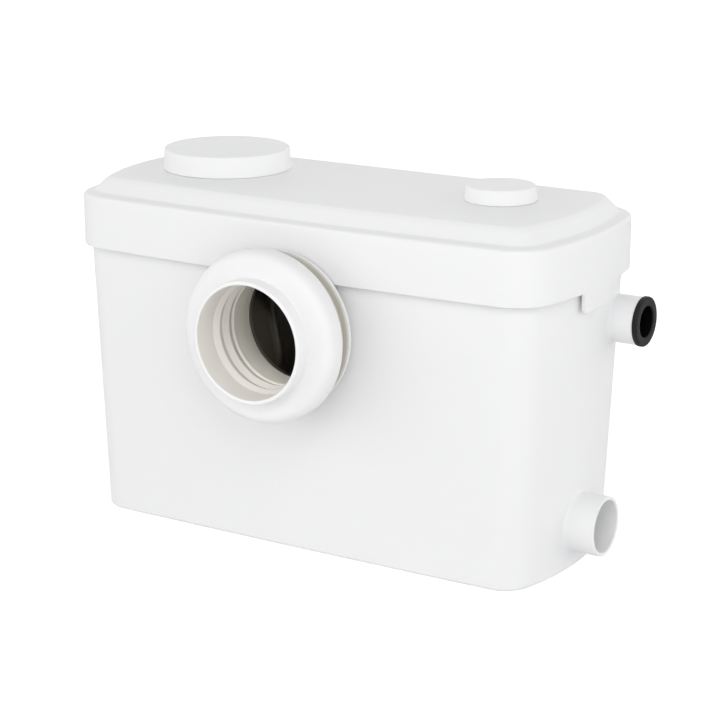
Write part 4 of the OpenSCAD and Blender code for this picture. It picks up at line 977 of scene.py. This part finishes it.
class PUMP_OT_screws(Operator):
    """Build the screws with cross-recessed heads, by Geometry Nodes"""

    bl_idname = "pump.screws"
    bl_label = "Screws"

    # Bars of the cross recess, as shares of the head's radius and height
    bar_long, bar_wide, bar_deep = 1.25, 0.26, 1.2

    def execute(self, context):
        sides = settings("pump_fittings").screw_sides
        steel = finishes()["steel"]
        tree = self.tree()
        names = {item.name: item.identifier for item in tree.interface.items_tree if item.in_out == "INPUT"}
        for group in ("pump_screws", "valve_screws", "diaphragm_screws", "control_screws"):
            seats, turn, head_r, head_h, shank_r, shank = self.measure(frame["nodes"][group].data)
            host = mesh_piece(group + "_made", seats, [])
            mod = host.modifiers.new("screws", "NODES")
            mod.node_group = tree
            given = {"Head radius": head_r, "Head height": head_h, "Shank radius": shank_r,
                     "Shank length": shank, "Sides": sides, "Turn": turn, "Material": steel}
            for key, value in given.items():
                mod[names[key]] = value
            bake(host)
            tidy_normals(host)
            shade(host)
            hand_over(host, "tank", "steel", group)
        return {"FINISHED"}

    def measure(self, mesh):
        """Seats, turn and sizes of the screws in a CAD node."""
        bm = bmesh.new()
        bm.from_mesh(mesh)
        bmesh.ops.remove_doubles(bm, verts=bm.verts, dist=HAIR)
        left, groups = set(bm.verts), []
        while left:
            stack, group = [left.pop()], []
            while stack:
                v = stack.pop()
                group.append(v.co[:])
                near = {e.other_vert(v) for e in v.link_edges} & left
                left -= near
                stack += near
            groups.append(np.array(group))
        bm.free()
        seats = []
        for pts in groups:
            low, high = pts.min(0), pts.max(0)
            axis = int(np.argmax(high - low))
            middle = (low + high)/2
            off = pts - middle
            off[:, axis] = 0
            far = np.linalg.norm(off, axis=1)
            ends = [far[np.abs(pts[:, axis] - end) < 10*HAIR].max() for end in (low[axis], high[axis])]
            way = 1 if ends[1] > ends[0] else -1
            tip, foot = (high[axis], low[axis]) if way > 0 else (low[axis], high[axis])
            head_r, shank_r = max(ends), min(ends)
            on_head = pts[far > (head_r + shank_r)/2]
            seat = on_head[:, axis].min() if way > 0 else on_head[:, axis].max()
            middle[axis] = seat
            seats.append(tuple(middle))
        turn = {(0, 1): (0, QUARTER, 0), (0, -1): (0, -QUARTER, 0), (1, 1): (-QUARTER, 0, 0),
                (1, -1): (QUARTER, 0, 0), (2, 1): (0, 0, 0), (2, -1): (2*QUARTER, 0, 0)}[axis, way]
        return seats, turn, float(head_r), float(abs(tip - seat)), float(shank_r), float(abs(seat - foot))

    def tree(self):
        """Nodes that put a screw on every point."""
        tree = bpy.data.node_groups.new("cross_head_screws", "GeometryNodeTree")
        face = tree.interface
        for key, kind in (("Points", "Geometry"), ("Head radius", "Float"), ("Head height", "Float"),
                          ("Shank radius", "Float"), ("Shank length", "Float"), ("Sides", "Int"),
                          ("Turn", "Vector"), ("Material", "Material")):
            face.new_socket(key, in_out="INPUT", socket_type="NodeSocket" + kind)
        face.new_socket("Screws", in_out="OUTPUT", socket_type="NodeSocketGeometry")
        link = tree.links.new
        given = tree.nodes.new("NodeGroupInput").outputs

        def scaled(value, factor):
            """A value times a factor."""
            made = add_node(tree, "ShaderNodeMath", operation="MULTIPLY")
            link(value, made.inputs[0])
            made.inputs[1].default_value = factor
            return made.outputs[0]

        def triple(x=None, y=None, z=None):
            """A vector from up to three values."""
            made = add_node(tree, "ShaderNodeCombineXYZ")
            for value, socket in zip((x, y, z), made.inputs):
                if value is not None:
                    link(value, socket)
            return made.outputs[0]

        def raised(mesh, height):
            """A mesh moved along its screw's axis."""
            made = add_node(tree, "GeometryNodeTransform")
            link(mesh, made.inputs["Geometry"])
            link(triple(z=height), made.inputs["Translation"])
            return made.outputs["Geometry"]

        def barrel(radius, depth, shift):
            """A cylinder moved along its axis."""
            made = add_node(tree, "GeometryNodeMeshCylinder")
            link(given["Sides"], made.inputs["Vertices"])
            link(radius, made.inputs["Radius"])
            link(depth, made.inputs["Depth"])
            return raised(made.outputs["Mesh"], shift)

        head = barrel(given["Head radius"], given["Head height"], scaled(given["Head height"], 0.5))
        cross = add_node(tree, "GeometryNodeJoinGeometry")
        for across in ((self.bar_long, self.bar_wide), (self.bar_wide, self.bar_long)):
            bar = add_node(tree, "GeometryNodeMeshCube")
            wide, deep = (scaled(given["Head radius"], f) for f in across)
            link(triple(wide, deep, scaled(given["Head height"], self.bar_deep)), bar.inputs["Size"])
            link(raised(bar.outputs["Mesh"], given["Head height"]), cross.inputs[0])
        cut = add_node(tree, "GeometryNodeMeshBoolean", operation="DIFFERENCE", solver="EXACT")
        link(head, cut.inputs["Mesh 1"])
        link(cross.outputs[0], cut.inputs["Mesh 2"])
        shank = barrel(given["Shank radius"], given["Shank length"], scaled(given["Shank length"], -0.5))
        whole = add_node(tree, "GeometryNodeJoinGeometry")
        link(cut.outputs["Mesh"], whole.inputs[0])
        link(shank, whole.inputs[0])
        put = add_node(tree, "GeometryNodeInstanceOnPoints")
        link(given["Points"], put.inputs["Points"])
        link(whole.outputs[0], put.inputs["Instance"])
        spin = add_node(tree, "FunctionNodeEulerToRotation")
        link(given["Turn"], spin.inputs[0])
        link(spin.outputs[0], put.inputs["Rotation"])
        real = add_node(tree, "GeometryNodeRealizeInstances")
        link(put.outputs["Instances"], real.inputs["Geometry"])
        coat = add_node(tree, "GeometryNodeSetMaterial")
        link(real.outputs["Geometry"], coat.inputs["Geometry"])
        link(given["Material"], coat.inputs["Material"])
        out = add_node(tree, "NodeGroupOutput")
        link(coat.outputs["Geometry"], out.inputs[0])
        return tree


class PUMP_OT_works(Operator):
    """Give the pieces inside the tank their finishes"""

    bl_idname = "pump.works"
    bl_label = "Inner works"

    def execute(self, context):
        for part in frame["record"]["subparts"]:
            dress(frame["nodes"][part["node"]], part["material_slot"])
        return {"FINISHED"}


class PUMP_OT_stage(Operator):
    """Set up the floor, the lights, the sky and the camera"""

    bl_idname = "pump.stage"
    bl_label = "Stage"

    floor_half, floor_drop = 6.0, 0.2*MM  # half the floor's side, and its distance below the pump

    def execute(self, context):
        t = settings("pump_stage")
        scene = context.scene
        scene.view_settings.view_transform = "Standard"
        self.floor(t.floor_glow)
        self.sky(t.horizon, t.zenith)
        self.softbox("key_light", t.key_place, t.key_size, t.key)
        self.softbox("front_light", t.front_place, t.front_size, t.front)
        self.spot("basket_spot", t.basket_way, t.basket_cone, t.basket_spot, "basket", "basket_corners")
        self.spot("lips_spot", t.lips_way, t.lips_cone, t.lips_spot, "wc_sleeve_body", "inlet_neck_tube")
        a, e = t.azimuth, t.elevation
        back = Vector((math.sin(a)*math.cos(e), -math.cos(a)*math.cos(e), math.sin(e)))
        cam = bpy.data.cameras.new("camera")
        cam.lens, cam.sensor_width = t.lens, 36.0
        cam.clip_start, cam.clip_end = 0.05, 50.0
        target = Vector(t.target)
        scene.camera = self.put("camera", cam, target + back*t.distance, target)
        return {"FINISHED"}

    def put(self, name, data, place, aim):
        """A lamp or camera at a place, turned towards a point."""
        made = bpy.data.objects.new(name, data)
        made.location = place
        made.rotation_euler = (Vector(aim) - Vector(place)).to_track_quat("-Z", "Y").to_euler()
        bpy.context.scene.collection.objects.link(made)
        return made

    def softbox(self, name, place, size, energy):
        """A square area lamp that faces the pump."""
        lamp = bpy.data.lights.new(name, "AREA")
        lamp.shape, lamp.size, lamp.energy = "SQUARE", size, energy
        self.put(name, lamp, place, settings("pump_stage").middle)

    def spot(self, name, way, cone, energy, *lit):
        """A narrow spot through the sleeve's mouth that lights some pieces alone."""
        s, g, t = settings("pump_shell"), settings("pump_fittings"), settings("pump_stage")
        mouth = Vector((0, -s.lid_d/2 - g.sleeve_gap - g.sleeve_l, g.inlet_z))
        lamp = bpy.data.lights.new(name, "SPOT")
        lamp.energy, lamp.spot_size = energy, cone
        lamp.spot_blend, lamp.shadow_soft_size = 0.25, 0.02
        spot = self.put(name, lamp, mouth + t.spot_reach*Vector(way), mouth)
        group = bpy.data.collections.new(name + "_lights")
        for piece in lit:
            group.objects.link(bpy.data.objects[piece])
        spot.light_linking.receiver_collection = group

    def floor(self, level):
        """A white floor that keeps the pump's shadow, with a glow for the camera alone."""
        half = self.floor_half
        ground = mesh_piece("floor", [(-half, -half, 0), (half, -half, 0), (half, half, 0), (-half, half, 0)],
                            [(0, 1, 2, 3)])
        ground.location.z = -self.floor_drop
        mat = bpy.data.materials.new("floor_white")
        mat.use_nodes = True
        tree = mat.node_tree
        tree.nodes.clear()
        link = tree.links.new
        paint = add_node(tree, "ShaderNodeBsdfDiffuse", Color=(0.9, 0.9, 0.9, 1))
        glow = add_node(tree, "ShaderNodeEmission")
        path = add_node(tree, "ShaderNodeLightPath")
        seen = add_node(tree, "ShaderNodeMath", operation="MULTIPLY")
        seen.inputs[1].default_value = level
        link(path.outputs["Is Camera Ray"], seen.inputs[0])
        link(seen.outputs[0], glow.inputs["Strength"])
        both = add_node(tree, "ShaderNodeAddShader")
        out = add_node(tree, "ShaderNodeOutputMaterial")
        link(paint.outputs[0], both.inputs[0])
        link(glow.outputs[0], both.inputs[1])
        link(both.outputs[0], out.inputs["Surface"])
        ground.data.materials.append(mat)

    def sky(self, horizon, zenith):
        """A white sky for the camera, mirrors and glass. Its light on the rest fades towards overhead."""
        world = bpy.data.worlds.new("studio")
        world.use_nodes = True
        tree = world.node_tree
        tree.nodes.clear()
        link = tree.links.new
        path = add_node(tree, "ShaderNodeLightPath")
        seen = path.outputs["Is Camera Ray"]
        for ray in ("Is Glossy Ray", "Is Transmission Ray"):
            pick = add_node(tree, "ShaderNodeMath", operation="MAXIMUM")
            link(seen, pick.inputs[0])
            link(path.outputs[ray], pick.inputs[1])
            seen = pick.outputs[0]
        way = add_node(tree, "ShaderNodeTexCoord")
        split = add_node(tree, "ShaderNodeSeparateXYZ")
        link(way.outputs["Generated"], split.inputs[0])
        fade = add_node(tree, "ShaderNodeMapRange", **{"To Min": horizon, "To Max": zenith})
        link(split.outputs["Z"], fade.inputs["Value"])
        level = add_node(tree, "ShaderNodeMapRange", **{"To Max": 1.0})
        link(fade.outputs["Result"], level.inputs["To Min"])
        link(seen, level.inputs["Value"])
        light = add_node(tree, "ShaderNodeBackground", Color=(1, 1, 1, 1))
        out = add_node(tree, "ShaderNodeOutputWorld")
        link(level.outputs["Result"], light.inputs["Strength"])
        link(light.outputs[0], out.inputs["Surface"])
        bpy.context.scene.world = world


class PUMP_PT_sidebar(Panel):
    """Sizes, finishes and steps of the pump"""

    bl_idname = "PUMP_PT_sidebar"
    bl_label = "Macerator pump"
    bl_space_type = "VIEW_3D"
    bl_region_type = "UI"
    bl_category = "Pump"

    def draw(self, context):
        for operator in OPERATORS:
            self.layout.operator(operator.bl_idname)
        for group in GROUPS:
            values = getattr(context.scene, group)
            for key in values.bl_rna.properties.keys():
                if key not in ("rna_type", "name"):
                    self.layout.prop(values, key)


GROUPS = {"pump_shell": PumpShell, "pump_fittings": PumpFittings, "pump_finish": PumpFinish,
          "pump_stage": PumpStage}
OPERATORS = (PUMP_OT_works, PUMP_OT_tank, PUMP_OT_tubes, PUMP_OT_lid, PUMP_OT_caps, PUMP_OT_sleeve,
             PUMP_OT_basket, PUMP_OT_bush, PUMP_OT_screws, PUMP_OT_stage)


def register():
    for group in (*GROUPS.values(), *OPERATORS, PUMP_PT_sidebar):
        bpy.utils.register_class(group)
    for name, group in GROUPS.items():
        setattr(bpy.types.Scene, name, PointerProperty(type=group))


def unregister():
    for name in GROUPS:
        delattr(bpy.types.Scene, name)
    for group in reversed((*GROUPS.values(), *OPERATORS, PUMP_PT_sidebar)):
        bpy.utils.unregister_class(group)


def main():
    register()
    for operator in OPERATORS:
        space, step = operator.bl_idname.split(".")
        getattr(getattr(bpy.ops, space), step)()


if __name__ == "__main__":
    main()
